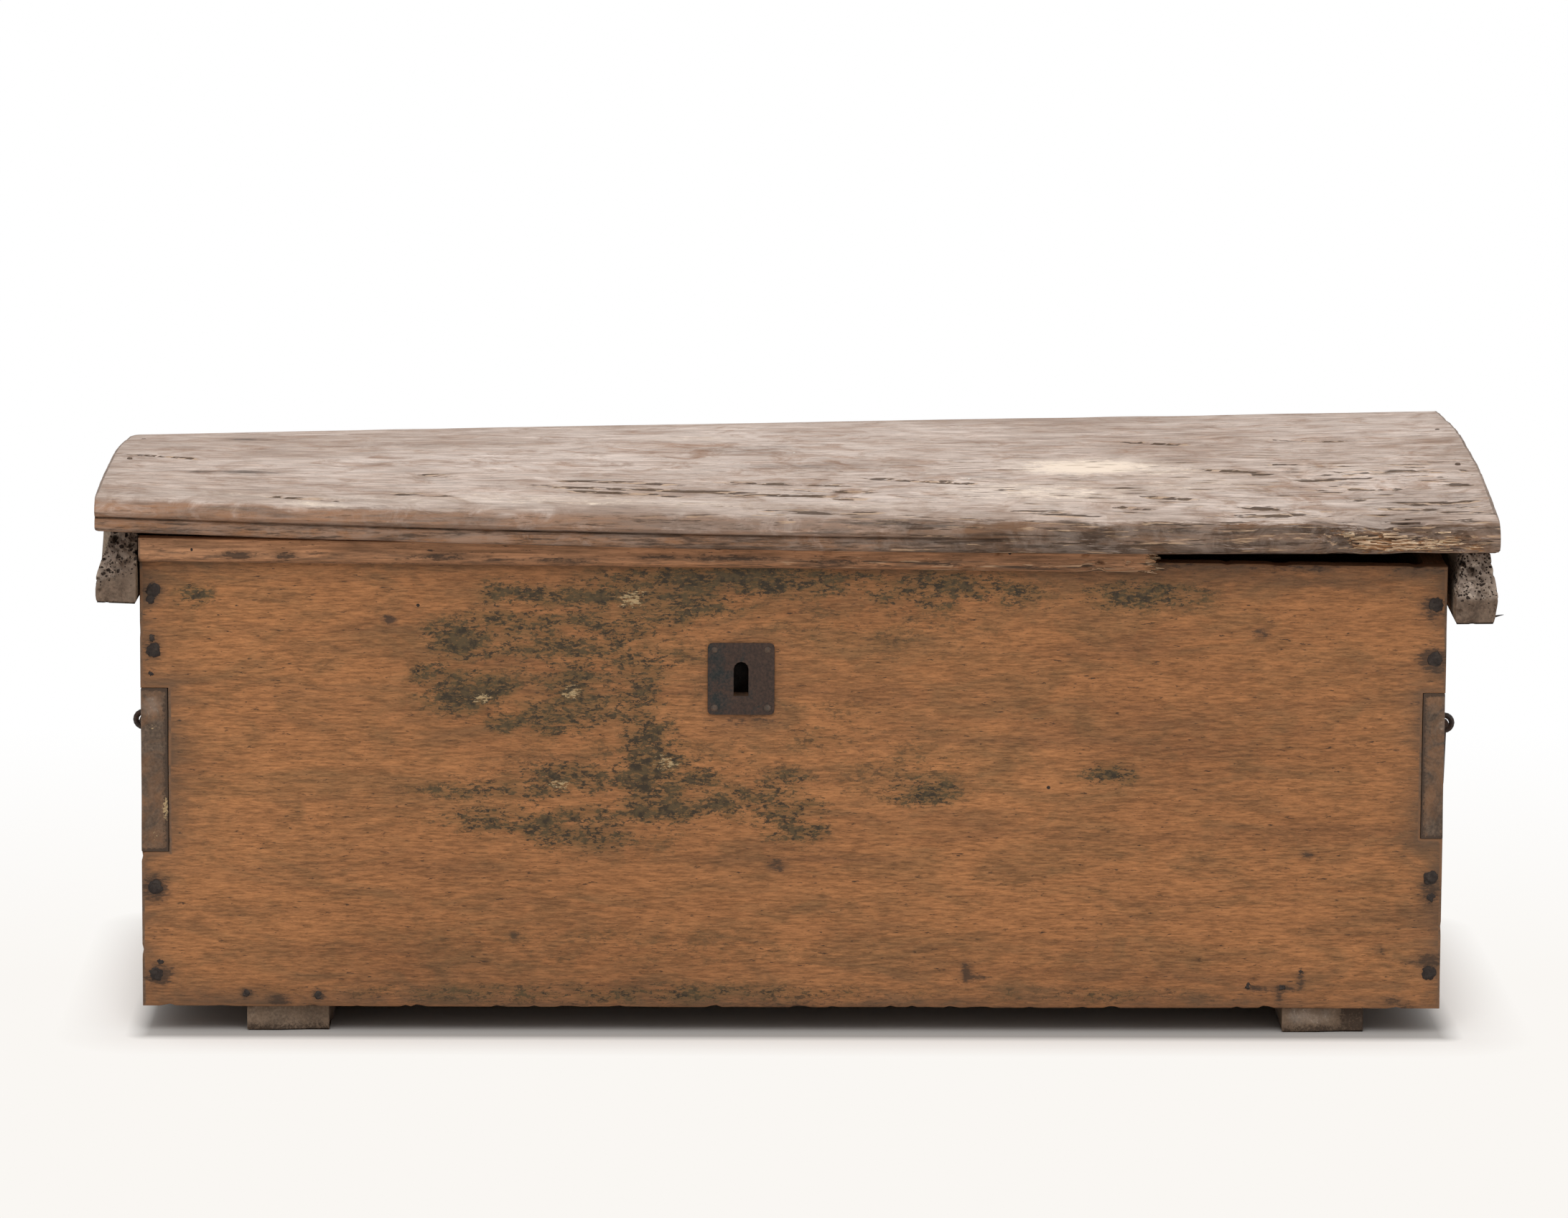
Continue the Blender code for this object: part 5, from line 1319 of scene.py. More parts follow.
def moulding_slots(points):
    """Worm slots and chips along the strip, mostly towards the broken end."""
    most = SLOT_LEAST + (1 - SLOT_LEAST) * smooth(*SLOT_PART, points[:, 0])
    pits = smooth(*SLOT_RANGE, ripple(points, SLOT_SIZE, SLOT_SEED)) * most
    proud = np.clip(FRONT - points[:, 1] - SLOT_FLOOR, 0.0, None)
    return np.stack([pits * 0, np.minimum(pits * SLOT_DEPTH, proud), pits * 0], -1)


# %% The moulding and its zones
section = np.sin(np.linspace(0.0, math.pi / 2, ROUND_LINES)) * (1 - MOULDING_FLAT) + MOULDING_FLAT
moulding = slab(
    "moulding_strip", lines([0.0, MOULDING_RUN], MOULDING_STEP),
    np.array([*FLAT_LINES, *section]) * MOULDING_HEIGHT[0],
    layers(MOULDING_PROUD, MOULDING_WEAR, MOULDING_LAYERS), place_moulding,
    wear=MOULDING_WEAR, carve=moulding_slots,
)
x, _, z = places_of(moulding).T
down = lid_seat(x, MOULDING_AT) - z
lower_half = smooth(*LOWER_HALF, down)
# The lowest part of the strip is darkened: a painted shadow line under the moulding.
foot_shadow = smooth(*FOOT_LINE, down) * FOOT_SHADOW
give(moulding, "dark", np.maximum(ovals(x, down - STAIN_LINE, MOULDING_STAINS), foot_shadow))
give(moulding, "weather", LOWER_WEATHER * lower_half)
give(moulding, "crack", LOWER_CRACKS * lower_half * smooth(*LOWER_CRACKS_FROM, x))
give(moulding, "rot", smooth(*(LEFT + MOULDING_RUN - reach for reach in TORN_END), x))
settle(moulding, MOULDING_PINE, "chest", "warm_pine", "front_moulding")

# %% [markdown]
# ## The lid
#
# The lid is one plank that has cupped and twisted. Its front edge has a bead over a square band, sharp at the
# left and worn to a plain round at the right. Weather has opened cracks along the grain, and the right front
# corner has rotted to loose fibres. Cracks are sunk into the mesh, because at this low view their far walls
# show: grid lines are close together across the grain and wide apart along it, as cracks are.

# %% Cracks and zones of the lid
# A crack goes from (x, s) to (x, s), where s is the distance behind the lid's front, and has a depth.
CRACKS = (
    (-0.5733, 0.204, -0.4916, 0.178, 0.0030), (-0.451, 0.030, -0.3665, 0.023, 0.0030),
    (-0.348, 0.053, -0.277, 0.050, 0.0022), (-0.3265, 0.129, -0.2836, 0.118, 0.0014),
    (-0.236, 0.092, -0.120, 0.078, 0.0028), (-0.215, 0.110, -0.062, 0.100, 0.0026),
    (-0.200, 0.070, -0.075, 0.062, 0.0030), (-0.150, 0.084, -0.020, 0.076, 0.0030),
    (-0.080, 0.114, 0.060, 0.104, 0.0028), (-0.070, 0.074, 0.050, 0.069, 0.0034),
    (-0.010, 0.090, 0.075, 0.083, 0.0030), (0.054, 0.135, 0.150, 0.112, 0.0028),
    (0.010, 0.064, 0.110, 0.060, 0.0022), (-0.040, 0.018, 0.095, 0.020, 0.0022),
    (0.2815, 0.295, 0.3765, 0.270, 0.0032), (0.406, 0.307, 0.513, 0.282, 0.0030),
    (0.3225, 0.171, 0.4074, 0.157, 0.0034), (0.422, 0.140, 0.4553, 0.130, 0.0026),
    (0.116, 0.126, 0.164, 0.110, 0.0026), (0.153, 0.096, 0.208, 0.096, 0.0018),
    (0.285, 0.074, 0.349, 0.062, 0.0026), (0.259, 0.043, 0.303, 0.032, 0.0026),
    (0.363, 0.050, 0.418, 0.040, 0.0028), (0.4588, 0.100, 0.507, 0.098, 0.0026),
    (0.165, 0.030, 0.240, 0.024, 0.0020), (-0.478, 0.330, -0.448, 0.332, 0.0016),
    (0.330, 0.024, 0.450, 0.022, 0.0024),
)
CHECKED_X, CHECKED_S = (0.36, 0.575), (0.02, 0.20)
CHECK_COUNT = 46
CHECK_LENGTHS, CHECK_DRIFT, CHECK_DEPTHS = (0.015, 0.07), 0.004, (0.0008, 0.0022)
CHECK_MARGIN = 0.004
CRACK_WIDTH = 0.0026
CRACK_WALLS = (0.7 * CRACK_WIDTH, 2.6 * CRACK_WIDTH)
CRACK_START, CRACK_STOP = (-0.02, 0.25), (1.02, 0.6)
# How a crack wanders off its line: the size of the noise, its seed and its reach.
WANDERS = (((0.02, 0.5, 1.0), 43, 0.0022), ((0.006, 0.5, 1.0), 44, 0.0008))
# Zones of the lid, as ovals round (x, s).
LID_PALE = (
    (0.250, 0.178, 0.054, 0.030, 2.0), (0.300, 0.160, 0.070, 0.040, 0.7),
    (0.215, 0.085, 0.110, 0.050, 0.65), (0.330, 0.120, 0.060, 0.040, 0.6),
    (-0.090, 0.330, 0.060, 0.020, 0.5), (-0.400, 0.012, 0.026, 0.006, 1.1),
    (0.480, 0.170, 0.040, 0.030, 0.45), (-0.150, 0.040, 0.200, 0.020, 0.62),
    (-0.350, 0.030, 0.200, 0.018, 0.55), (0.060, 0.040, 0.090, 0.016, 0.5),
)
LID_DARK = (
    (-0.465, 0.122, 0.030, 0.010, 0.85), (-0.505, 0.120, 0.014, 0.010, 0.8),
    (-0.480, 0.337, 0.022, 0.014, 0.8), (-0.040, 0.260, 0.060, 0.030, 0.55),
    (-0.300, 0.110, 0.025, 0.012, 0.42), (0.520, 0.060, 0.070, 0.045, 0.45),
    (0.000, 0.170, 0.100, 0.020, 0.40), (-0.080, 0.088, 0.150, 0.030, 0.36),
)
LID_WARM = (
    (-0.085, 0.270, 0.100, 0.040, 0.50), (-0.300, 0.122, 0.030, 0.010, 0.35),
    (-0.030, 0.200, 0.220, 0.070, 0.34), (0.460, 0.100, 0.120, 0.080, 0.25),
    (-0.470, 0.260, 0.120, 0.090, 0.15), (0.300, 0.280, 0.200, 0.030, 0.22),
    (0.020, 0.340, 0.060, 0.030, 0.30), (0.330, 0.285, 0.045, 0.008, 0.50),
    (0.050, 0.075, 0.120, 0.020, 0.22),
)
CHANCE_SEED = 41
rng = np.random.default_rng(CHANCE_SEED)


def short_check():
    """One of the many short checks at the weathered right end."""
    x, s = rng.uniform(*CHECKED_X), rng.uniform(*CHECKED_S)
    far_x = min(x + rng.uniform(*CHECK_LENGTHS), LID_RIGHT - CHECK_MARGIN)
    return x, s, far_x, s + rng.normal(0.0, CHECK_DRIFT), rng.uniform(*CHECK_DEPTHS)


LID_CRACKS = [*CRACKS, *(short_check() for _ in range(CHECK_COUNT))]


def crack_field(x, s, far_side, near_side):
    """Depth of the cracks at a place, with walls this wide behind and in front of each crack's line."""
    wander = sum(ripple(on_face(x, s), size, seed) * reach for size, seed, reach in WANDERS)
    total = np.zeros_like(x)
    for x0, s0, x1, s1, depth in LID_CRACKS:
        part = (x - x0) / (x1 - x0)
        inside = smooth(*CRACK_START, part) * smooth(*CRACK_STOP, part)
        off = s - (s0 + (s1 - s0) * part) - wander
        across = np.where(off > 0, smooth(far_side, 0.0, off), smooth(-near_side, 0.0, off))
        total = np.maximum(total, depth * inside * across)
    return total


print("cracks:", len(LID_CRACKS))

# %% Sizes of the lid's edge, top and rotten corner
NOSE_BAND = 0.0115
NOSE_SET = 0.002
NOSE_GROOVE = 0.004
NOSE_GROOVE_HEIGHT = 0.0025
GROOVE_MIDDLE = NOSE_BAND + NOSE_GROOVE_HEIGHT / 2
BEAD_FOOT = NOSE_BAND + NOSE_GROOVE_HEIGHT
BEAD_RUN = 0.018
BEAD_LINES = 10
BAND_LINES = (0.0, 0.001, 0.003, 0.006, 0.009)
BAND_BELLY, BAND_MIDDLE = 0.0144, 0.45
KEEN_PART = (0.26, 0.08)
PLAIN_FROM, PLAIN_CURVE = 0.35, 2.2
UNDER_ROUND, UNDER_TO = 0.003, 0.3
TINY = 1e-6
TOP_LAYERS = (0.55, 1.0)
# Hollows of the top: depth, size of the noise and its seed.
RAISED_GRAIN = (0.0004, (0.09, 0.0045, 1.0), 51)
WEATHERED_GRAIN = (0.0008, (0.05, 0.012, 1.0), 52)
WEATHERED_PART = (0.1, 0.5)
BROAD_HOLLOWS = (0.0006, (0.2, 0.06, 1.0), 53)
ROT_CORNER = (
    (0.500, 0.006, 0.040, 0.020, 1.0), (0.455, 0.004, 0.018, 0.012, 0.6), (0.545, 0.002, 0.018, 0.012, 0.7),
)
ROT_SIZE, ROT_SEED, ROT_RANGE = (0.030, 0.004, 0.003), 61, (0.25, 0.8)
ROT_MEAN, ROT_SWING = 0.55, 0.45
ROT_DEPTH, ROT_SAG, ROT_SAG_FROM = 0.010, 0.12, 0.012
WORN_SIZE, WORN_SEED, WORN_RANGE = (0.05, 1.0, 0.012), 62, (0.3, 0.9)
WORN_DEPTH, WORN_REACH = 0.0022, 0.03
bead_turns = np.linspace(0.0, math.pi / 2, BEAD_LINES)
LID_LAYERS = np.array([
    *BAND_LINES, NOSE_BAND, GROOVE_MIDDLE, *(BEAD_FOOT + (LID_THICKNESS - BEAD_FOOT) * np.sin(bead_turns)),
])


# %% The lid's edge, top and rotten corner
def nose_run(x, above):
    """How far behind the lid's front a point of its moulded edge lies: band, groove and bead."""
    rise = np.clip((above - BEAD_FOOT) / (LID_THICKNESS - BEAD_FOOT), 0.0, 1.0)
    bead = BEAD_RUN * (1 - np.sqrt(np.clip(1 - rise ** 2, 0.0, 1.0)))
    band = NOSE_SET + BAND_BELLY * np.abs(above / NOSE_BAND - BAND_MIDDLE) ** 3
    in_groove = np.clip(1 - np.abs(above - GROOVE_MIDDLE) / NOSE_GROOVE_HEIGHT, 0.0, 1.0)
    moulded = np.where(above <= NOSE_BAND + TINY, band, bead) + in_groove * NOSE_GROOVE
    share = above / LID_THICKNESS
    over = np.clip((share - PLAIN_FROM) / (1 - PLAIN_FROM), 0.0, 1.0)
    under = np.clip(UNDER_TO - share, 0.0, 1.0) / UNDER_TO
    plain = BEAD_RUN * over ** PLAIN_CURVE + UNDER_ROUND * under
    return plain + (moulded - plain) * smooth(*KEEN_PART, x)


def hollows(x, s, depth, size, seed):
    """Hollows up to twice this deep."""
    return depth * (1 + ripple(on_face(x, s), size, seed))


def lid_relief(x, s):
    """Raised grain and broad hollows of the weathered top."""
    weathered_end = hollows(x, s, *WEATHERED_GRAIN) * smooth(*WEATHERED_PART, x)
    return hollows(x, s, *RAISED_GRAIN) + weathered_end + hollows(x, s, *BROAD_HOLLOWS)


def place_lid(u, v, w):
    """Along the lid, back from its edge and up through it, in metres before it is cupped and cracked."""
    start = nose_run(u, w)
    s = start + (LID_DEPTH - start) * v / LID_DEPTH
    share = s / LID_DEPTH
    crown = 4 * LID_CROWN * share * (1 - share) * w / LID_THICKNESS
    top_part = smooth(*TOP_LAYERS, w / LID_THICKNESS)
    sunk = crack_field(u, s, *CRACK_WALLS) + lid_relief(u, s)
    return np.stack([u, LID_FRONT_Y + s, lid_under(u, s) + w + crown - top_part * sunk], -1)


def rot(points):
    """The rotten corner: fibres gone from the front edge, in steps along the grain."""
    x, s = points[:, 0], points[:, 1] - LID_FRONT_Y
    ragged = ROT_MEAN + ROT_SWING * ripple(points, ROT_SIZE, ROT_SEED)
    gone = ovals(x, s, ROT_CORNER) * smooth(*ROT_RANGE, ragged) * ROT_DEPTH
    worn = smooth(*WORN_RANGE, ripple(points, WORN_SIZE, WORN_SEED)) * smooth(WORN_REACH, 0.0, s) * WORN_DEPTH
    inward = np.clip(np.minimum(gone + worn, LID_FRONT_Y + WORN_REACH - points[:, 1]), 0.0, None)
    return np.stack([gone * 0, inward, -gone * ROT_SAG * (s > ROT_SAG_FROM)], -1)


print("layers of the lid:", len(LID_LAYERS))

# %% Values of the lid's zones
LID_STEP = 0.0062
LID_FINE_TO, LID_FINE_LINES, LID_COARSE_LINES = 0.20, 90, 84
LID_WEAR, LID_SEED = 0.0045, 9
ROT_LOOK = (
    (0.478, 0.010, 0.026, 0.008, 1.35), (0.505, 0.007, 0.050, 0.006, 1.2),
    (0.540, 0.009, 0.018, 0.006, 1.1), (0.455, 0.018, 0.020, 0.006, 0.9), (0.562, 0.006, 0.016, 0.006, 0.9),
)
ROT_LOOK_REACH = (0.040, 0.020)
TOP_SHARE = (0.4, 0.8)
CRACK_HALO = (2.0 * CRACK_WIDTH, 2.4 * CRACK_WIDTH)
CRACK_FULL, CRACK_MOST = 0.0022, 1.1
CHECKS_LEAST, CHECKS_MORE = 0.06, 0.10
CHECKS_TO_RIGHT, CHECKS_TO_FRONT = (-0.25, 0.15), (0.32, 0.05)
NOSE_REACH, BROW_REACH = (0.017, 0.005), (0.014, 0.0030)
BAND_TOP, BAND_REACH = (0.017, 0.011), (0.03, 0.01)
TO_RIGHT = (-0.02, 0.30)
GREYED_FROM = (-0.06, 0.12)
GREYED_CRACKS, GREYED_WEATHER = 0.25, 1.15
NOSE_DIRT, BAND_DIRT, BAND_DIRT_LESS = 0.32, 0.62, 0.2
SHELTER_SHARE, SHELTER_REACH, SHELTER_WARMTH = (0.35, 0.1), (0.01, 0.03), 0.75
BROW_WARMTH, BROW_WARMTH_LESS, BROW_LESS_FROM = 0.84, 0.24, (-0.35, -0.05)
EDGE_WARMTH, EDGE_WARMTH_LESS = 1.05, 0.75

# %% The lid and its zones
fine = np.linspace(0.0, LID_FINE_TO, LID_FINE_LINES)[:-1]
lid_vs = np.concatenate([fine, np.linspace(LID_FINE_TO, LID_DEPTH, LID_COARSE_LINES)])
lid = slab(
    "lid_plank", lines([LID_LEFT, LID_RIGHT], LID_STEP), lid_vs, LID_LAYERS, place_lid,
    wear=LID_WEAR, carve=rot, seed=LID_SEED,
)
x, y, z = places_of(lid).T
s = y - LID_FRONT_Y
above = z - lid_under(x, s)
on_top = smooth(*TOP_SHARE, above / LID_THICKNESS)
nose = smooth(*NOSE_REACH, s)
band = smooth(*BAND_TOP, above) * smooth(*BAND_REACH, s)
to_right = smooth(*TO_RIGHT, x)
greyed_nose = nose * smooth(*GREYED_FROM, x)
give(lid, "pale", ovals(x, s, LID_PALE) * on_top)
give(lid, "rot", ovals(x, above, ROT_LOOK) * smooth(*ROT_LOOK_REACH, s))
give(lid, "weather", greyed_nose * GREYED_WEATHER)

by_cracks = np.clip(crack_field(x, s, *CRACK_HALO) / CRACK_FULL, 0.0, CRACK_MOST)
scattered = CHECKS_LEAST + CHECKS_MORE * smooth(*CHECKS_TO_RIGHT, x) * smooth(*CHECKS_TO_FRONT, s)
give(lid, "crack", np.maximum(np.maximum(by_cracks, scattered) * on_top, greyed_nose * GREYED_CRACKS))

band_dirt = band * (BAND_DIRT - BAND_DIRT_LESS * to_right)
give(lid, "dark", np.maximum.reduce([ovals(x, s, LID_DARK) * on_top, nose * NOSE_DIRT, band_dirt]))

brow = smooth(*BROW_REACH, s) * (BROW_WARMTH - BROW_WARMTH_LESS * smooth(*BROW_LESS_FROM, x))
edge_warm = np.maximum(brow, band) * (EDGE_WARMTH - EDGE_WARMTH_LESS * to_right)
sheltered = smooth(*SHELTER_SHARE, above / LID_THICKNESS) * smooth(*SHELTER_REACH, s) * SHELTER_WARMTH
give(lid, "warm", np.maximum.reduce([edge_warm, ovals(x, s, LID_WARM) * on_top, sheltered]))
settle(lid, LID_PINE, "lid", "weathered_pine", "lid_board")

# %% [markdown]
# ## The battens
#
# A batten under each end of the lid keeps the plank flat and caps the chest's end. Their front ends are the
# most worm-eaten wood on the chest: the upper part slopes back and is mostly holes. Holes this large can't be
# drawn by a material alone, so the end has a millimetre grid and is carved by noise.

# %% Sizes of the battens
BATTEN_DROP = 0.061
BATTEN_NOSE = 0.024
BATTEN_NOSE_SETBACK = 0.006
BATTEN_SLOPE_RUN, BATTEN_SLOPE_CURVE = 0.030, 0.85
BATTEN_SLOPE_START = BATTEN_NOSE - 0.003
BATTEN_BACK_INSET = 0.012
BATTEN_WEAR, BATTEN_LAYERS = 0.006, 46
BATTEN_STEP, BATTEN_HUG = 0.0011, 0.002
BATTEN_FINE_TO, BATTEN_FINE_LINES, BATTEN_COARSE_LINES = 0.045, 34, 60
# How far the worn front leans in: its outer side and its inner side at the top, and its outer foot.
BATTEN_LEAN = {"left": (0.011, 0.0, 0.0), "right": (0.005, 0.007, 0.003)}
LEAN_REACH, LEAN_TOP, LEAN_FOOT = (0.075, 0.03), (0.25, 1.0), (0.45, 0.0)
SLOPE_EDGE = (BATTEN_DROP - BATTEN_NOSE + 0.007, BATTEN_DROP - BATTEN_NOSE - 0.002)
SLOPE_TILT = {"left": 0.45, "right": 0.0}
EATEN_REACH, EATEN_TOP, EATEN_LEAST = (0.060, 0.035), (0.030, 0.004), 0.25
GALLERY_SIZE, GALLERY_RANGE, GALLERY_DEPTH = (0.0052, 0.010, 0.0056), (0.22, 0.5), 0.0075
CRUMB_SIZE, CRUMB_RANGE, CRUMB_DEPTH = (0.0022, 0.004, 0.0022), (-0.2, 0.6), 0.0026
PIT_SIZE, PIT_RANGE, PIT_DEPTH = (0.006, 0.01, 0.005), (0.45, 0.8), 0.0026
EATEN_SIDE, EATEN_DOWN = 0.3, 0.2
WORN_END = (0.075, 0.045)
SLOPE_PALE, NOSE_DARK = 0.36, 0.4


# %% How a batten is built
def build_batten(end, low_x, high_x, seed):
    """One batten, with its worn and worm-eaten front."""
    length = LID_DEPTH - BATTEN_BACK_INSET - BATTEN_NOSE_SETBACK
    width = high_x - low_x
    middle_x = (low_x + high_x) / 2
    lean_outer, lean_inner, lean_foot = BATTEN_LEAN[end]
    inward = 1 if end == "left" else -1

    def place(u, v, w):
        high = w / BATTEN_DROP
        from_outer = v / width if end == "left" else 1 - v / width
        slope = smooth(BATTEN_SLOPE_START, BATTEN_DROP, w) ** BATTEN_SLOPE_CURVE * BATTEN_SLOPE_RUN
        s = BATTEN_NOSE_SETBACK + slope + (length - slope) * u / length
        lean = (lean_outer * (1 - from_outer) - lean_inner * from_outer) * smooth(*LEAN_TOP, high)
        lean = lean + lean_foot * (1 - from_outer) * smooth(*LEAN_FOOT, high)
        x = low_x + v + inward * smooth(*LEAN_REACH, u) * lean
        share = (s - MOULDING_AT) / (BACK_AT - MOULDING_AT)
        foot, heel = lid_under(x, MOULDING_AT), lid_under(x, BACK_AT)
        bottom = foot + (heel - foot) * share - BATTEN_DROP
        top = lid_under(x, s) - FIT
        return np.stack([x, LID_FRONT_Y + s, bottom + (top - bottom) * high], -1)

    def on_slope(points):
        """Distance behind the lid's front and below the lid, and how much of a point is on the slope."""
        s = points[:, 1] - LID_FRONT_Y
        below = lid_under(points[:, 0], s) - points[:, 2]
        tilt = SLOPE_TILT[end] * (points[:, 0] - middle_x)
        return s, below, smooth(*SLOPE_EDGE, below + tilt)

    def eaten(points):
        """Worm galleries in the sloping end, and small pits in the nose."""
        s, below, sloping = on_slope(points)
        front = smooth(*EATEN_REACH, s)
        high_up = EATEN_LEAST + (1 - EATEN_LEAST) * smooth(*EATEN_TOP, below)
        galleries = smooth(*GALLERY_RANGE, ripple(points, GALLERY_SIZE, seed)) * high_up
        crumbs = smooth(*CRUMB_RANGE, ripple(points, CRUMB_SIZE, seed + 1))
        gone = front * sloping * (galleries * GALLERY_DEPTH + crumbs * CRUMB_DEPTH)
        pits = smooth(*PIT_RANGE, ripple(points, PIT_SIZE, seed + 2)) * PIT_DEPTH
        side = np.sign(middle_x - points[:, 0]) * gone * EATEN_SIDE
        return np.stack([side, gone + front * (1 - sloping) * pits, -gone * EATEN_DOWN], -1)

    fine = np.linspace(0.0, BATTEN_FINE_TO, BATTEN_FINE_LINES)[:-1]
    us = np.concatenate([fine, np.linspace(BATTEN_FINE_TO, length, BATTEN_COARSE_LINES)])
    batten = slab(
        f"{end}_batten", us, lines([0.0, width], BATTEN_STEP, BATTEN_HUG),
        layers(BATTEN_DROP, BATTEN_WEAR, BATTEN_LAYERS), place, wear=BATTEN_WEAR, carve=eaten, seed=seed,
    )
    s, _, sloping = on_slope(places_of(batten))
    worn_end = smooth(*WORN_END, s)
    give(batten, "worm", sloping * worn_end)
    give(batten, "pale", SLOPE_PALE * sloping * worn_end)
    give(batten, "dark", NOSE_DARK * (1 - sloping) * worn_end)
    settle(batten, BATTEN_PINE, "lid", "weathered_pine", f"{end}_lid_batten")


# %% Both battens
for end, seed in (("left", 71), ("right", 81)):
    low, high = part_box(f"{end}_lid_batten")
    build_batten(end, low.x, high.x, seed)

# %% [markdown]
# ## Nails and pins by Geometry Nodes
#
# Every nail was forged by hand, so no two heads are alike. A tree takes one point for each nail, sets a
# faceted cone on it, turns it by chance and hammers it out of shape with noise. The same tree with smaller
# sizes makes the lock plate's pins. The result is realised and turned into a plain mesh, one for each body.

# %% Tools for trees
FLOAT, INTEGER, MATERIAL = "NodeSocketFloat", "NodeSocketInt", "NodeSocketMaterial"
HAMMER_SCALE, HAMMER_DETAIL = 340.0, 3.0
FULL_TURN = 2 * math.pi
RANDOM_FLOAT_LOW, RANDOM_FLOAT_HIGH, RANDOM_FLOAT_RESULT = 2, 3, 1


def geometry_tree(name, sizes):
    """A Geometry Nodes tree with named inputs: sizes maps a name to its socket kind."""
    tree = bpy.data.node_groups.new(name, "GeometryNodeTree")
    tree.interface.new_socket("Geometry", in_out="INPUT", socket_type="NodeSocketGeometry")
    tree.interface.new_socket("Geometry", in_out="OUTPUT", socket_type="NodeSocketGeometry")
    for label, kind in sizes.items():
        tree.interface.new_socket(label, in_out="INPUT", socket_type=kind)
    n = Nodes(tree)
    return n, n.add("NodeGroupInput").outputs, n.add("NodeGroupOutput")


def stored(n, label, kind):
    """A value that the points carry."""
    inputs = {"Name": label}
    return n.add("GeometryNodeInputNamedAttribute", inputs, data_type=kind).outputs["Attribute"]


def finish_tree(n, instances, material, out, hammer=None, smooth_shade=True):
    """Realise instances, hammer them out of true, and set their material."""
    solid = n.add("GeometryNodeRealizeInstances", {"Geometry": instances}).outputs[0]
    if hammer is not None:
        where = n.add("GeometryNodeInputPosition").outputs[0]
        inputs = {"Vector": where, "Scale": HAMMER_SCALE, "Detail": HAMMER_DETAIL}
        waves = n.add("ShaderNodeTexNoise", inputs).outputs["Color"]
        centred = n.vector("SUBTRACT", waves, (MIDDLE, MIDDLE, MIDDLE))
        push = n.add("ShaderNodeVectorMath", {0: centred, "Scale": hammer}, operation="SCALE").outputs[0]
        solid = n.add("GeometryNodeSetPosition", {"Geometry": solid, "Offset": push}).outputs[0]
    inputs = {"Geometry": solid, "Shade Smooth": smooth_shade}
    shaded = n.add("GeometryNodeSetShadeSmooth", inputs).outputs[0]
    dressed = n.add("GeometryNodeSetMaterial", {"Geometry": shaded, "Material": material}).outputs[0]
    n.link(dressed, out.inputs[0])
    return n.tree


# %% The nail tree
def make_nail_tree():
    sizes = {"Head Width": FLOAT, "Head Height": FLOAT, "Top Share": FLOAT, "Sides": INTEGER, "Hammer": FLOAT,
             "Seed": INTEGER, "Material": MATERIAL}
    n, given, out = geometry_tree("forged nail heads", sizes)
    half = n.times(given["Head Width"], 0.5)
    cone = n.add("GeometryNodeMeshCone", {
        "Vertices": given["Sides"], "Side Segments": 2, "Fill Segments": 2,
        "Radius Top": n.times(half, given["Top Share"]), "Radius Bottom": half, "Depth": given["Head Height"],
    }).outputs["Mesh"]
    finer = n.add("GeometryNodeSubdivideMesh", {"Mesh": cone, "Level": 1}).outputs[0]
    outward = stored(n, "outward", "FLOAT_VECTOR")
    aligned = n.add("FunctionNodeAlignRotationToVector", {"Vector": outward}, axis="Z").outputs["Rotation"]
    inputs = {RANDOM_FLOAT_LOW: 0.0, RANDOM_FLOAT_HIGH: FULL_TURN, "Seed": given["Seed"]}
    angle = n.add("FunctionNodeRandomValue", inputs, data_type="FLOAT").outputs[RANDOM_FLOAT_RESULT]
    turn = n.add("FunctionNodeAxisAngleToRotation", {"Axis": (0.0, 0.0, 1.0), "Angle": angle}).outputs[0]
    inputs = {"Rotation": aligned, "Rotate By": turn}
    rotation = n.add("FunctionNodeRotateRotation", inputs, rotation_space="LOCAL").outputs[0]
    heads = n.add("GeometryNodeInstanceOnPoints", {
        "Points": given["Geometry"], "Instance": finer, "Rotation": rotation,
        "Scale": stored(n, "size", "FLOAT"),
    }).outputs[0]
    return finish_tree(n, heads, given["Material"], out, given["Hammer"])


# %% Growing a tree on its seeds
def points_piece(name, places, outwards, sizes):
    """A bare cloud of points that a tree turns into solid pieces."""
    mesh = bpy.data.meshes.new(name)
    mesh.from_pydata([tuple(p) for p in places], [], [])
    outward = mesh.attributes.new("outward", "FLOAT_VECTOR", "POINT")
    outward.data.foreach_set("vector", np.ravel(np.asarray(outwards, np.float32)))
    size = mesh.attributes.new("size", "FLOAT", "POINT")
    size.data.foreach_set("value", np.asarray(sizes, np.float32))
    return linked(name, mesh)


def grow(name, tree, seeds, values):
    """Run a tree on some seeds, each a (place, way, size), and keep the result as a plain mesh."""
    piece = points_piece(name, *zip(*seeds))
    modifier = piece.modifiers.new(tree.name, "NODES")
    modifier.node_group = tree
    for item in tree.interface.items_tree:
        if item.in_out == "INPUT" and item.name in values:
            modifier[item.identifier] = values[item.name]
    bpy.context.view_layer.update()
    evaluated = piece.evaluated_get(bpy.context.evaluated_depsgraph_get())
    mesh = bpy.data.meshes.new_from_object(evaluated)
    piece.modifiers.remove(modifier)
    piece.data = mesh
    return piece


NAIL_TREE = make_nail_tree()
print("tree:", NAIL_TREE.name, "of", len(NAIL_TREE.nodes), "nodes")

# %% [markdown]
# ## Where the nails are
#
# The chest's nails sit where their solids are, and stand for them. Ten small nails more show on the front.
# The battens' nails are hardly seen in the grey lid, so their heads are small and flush with it.

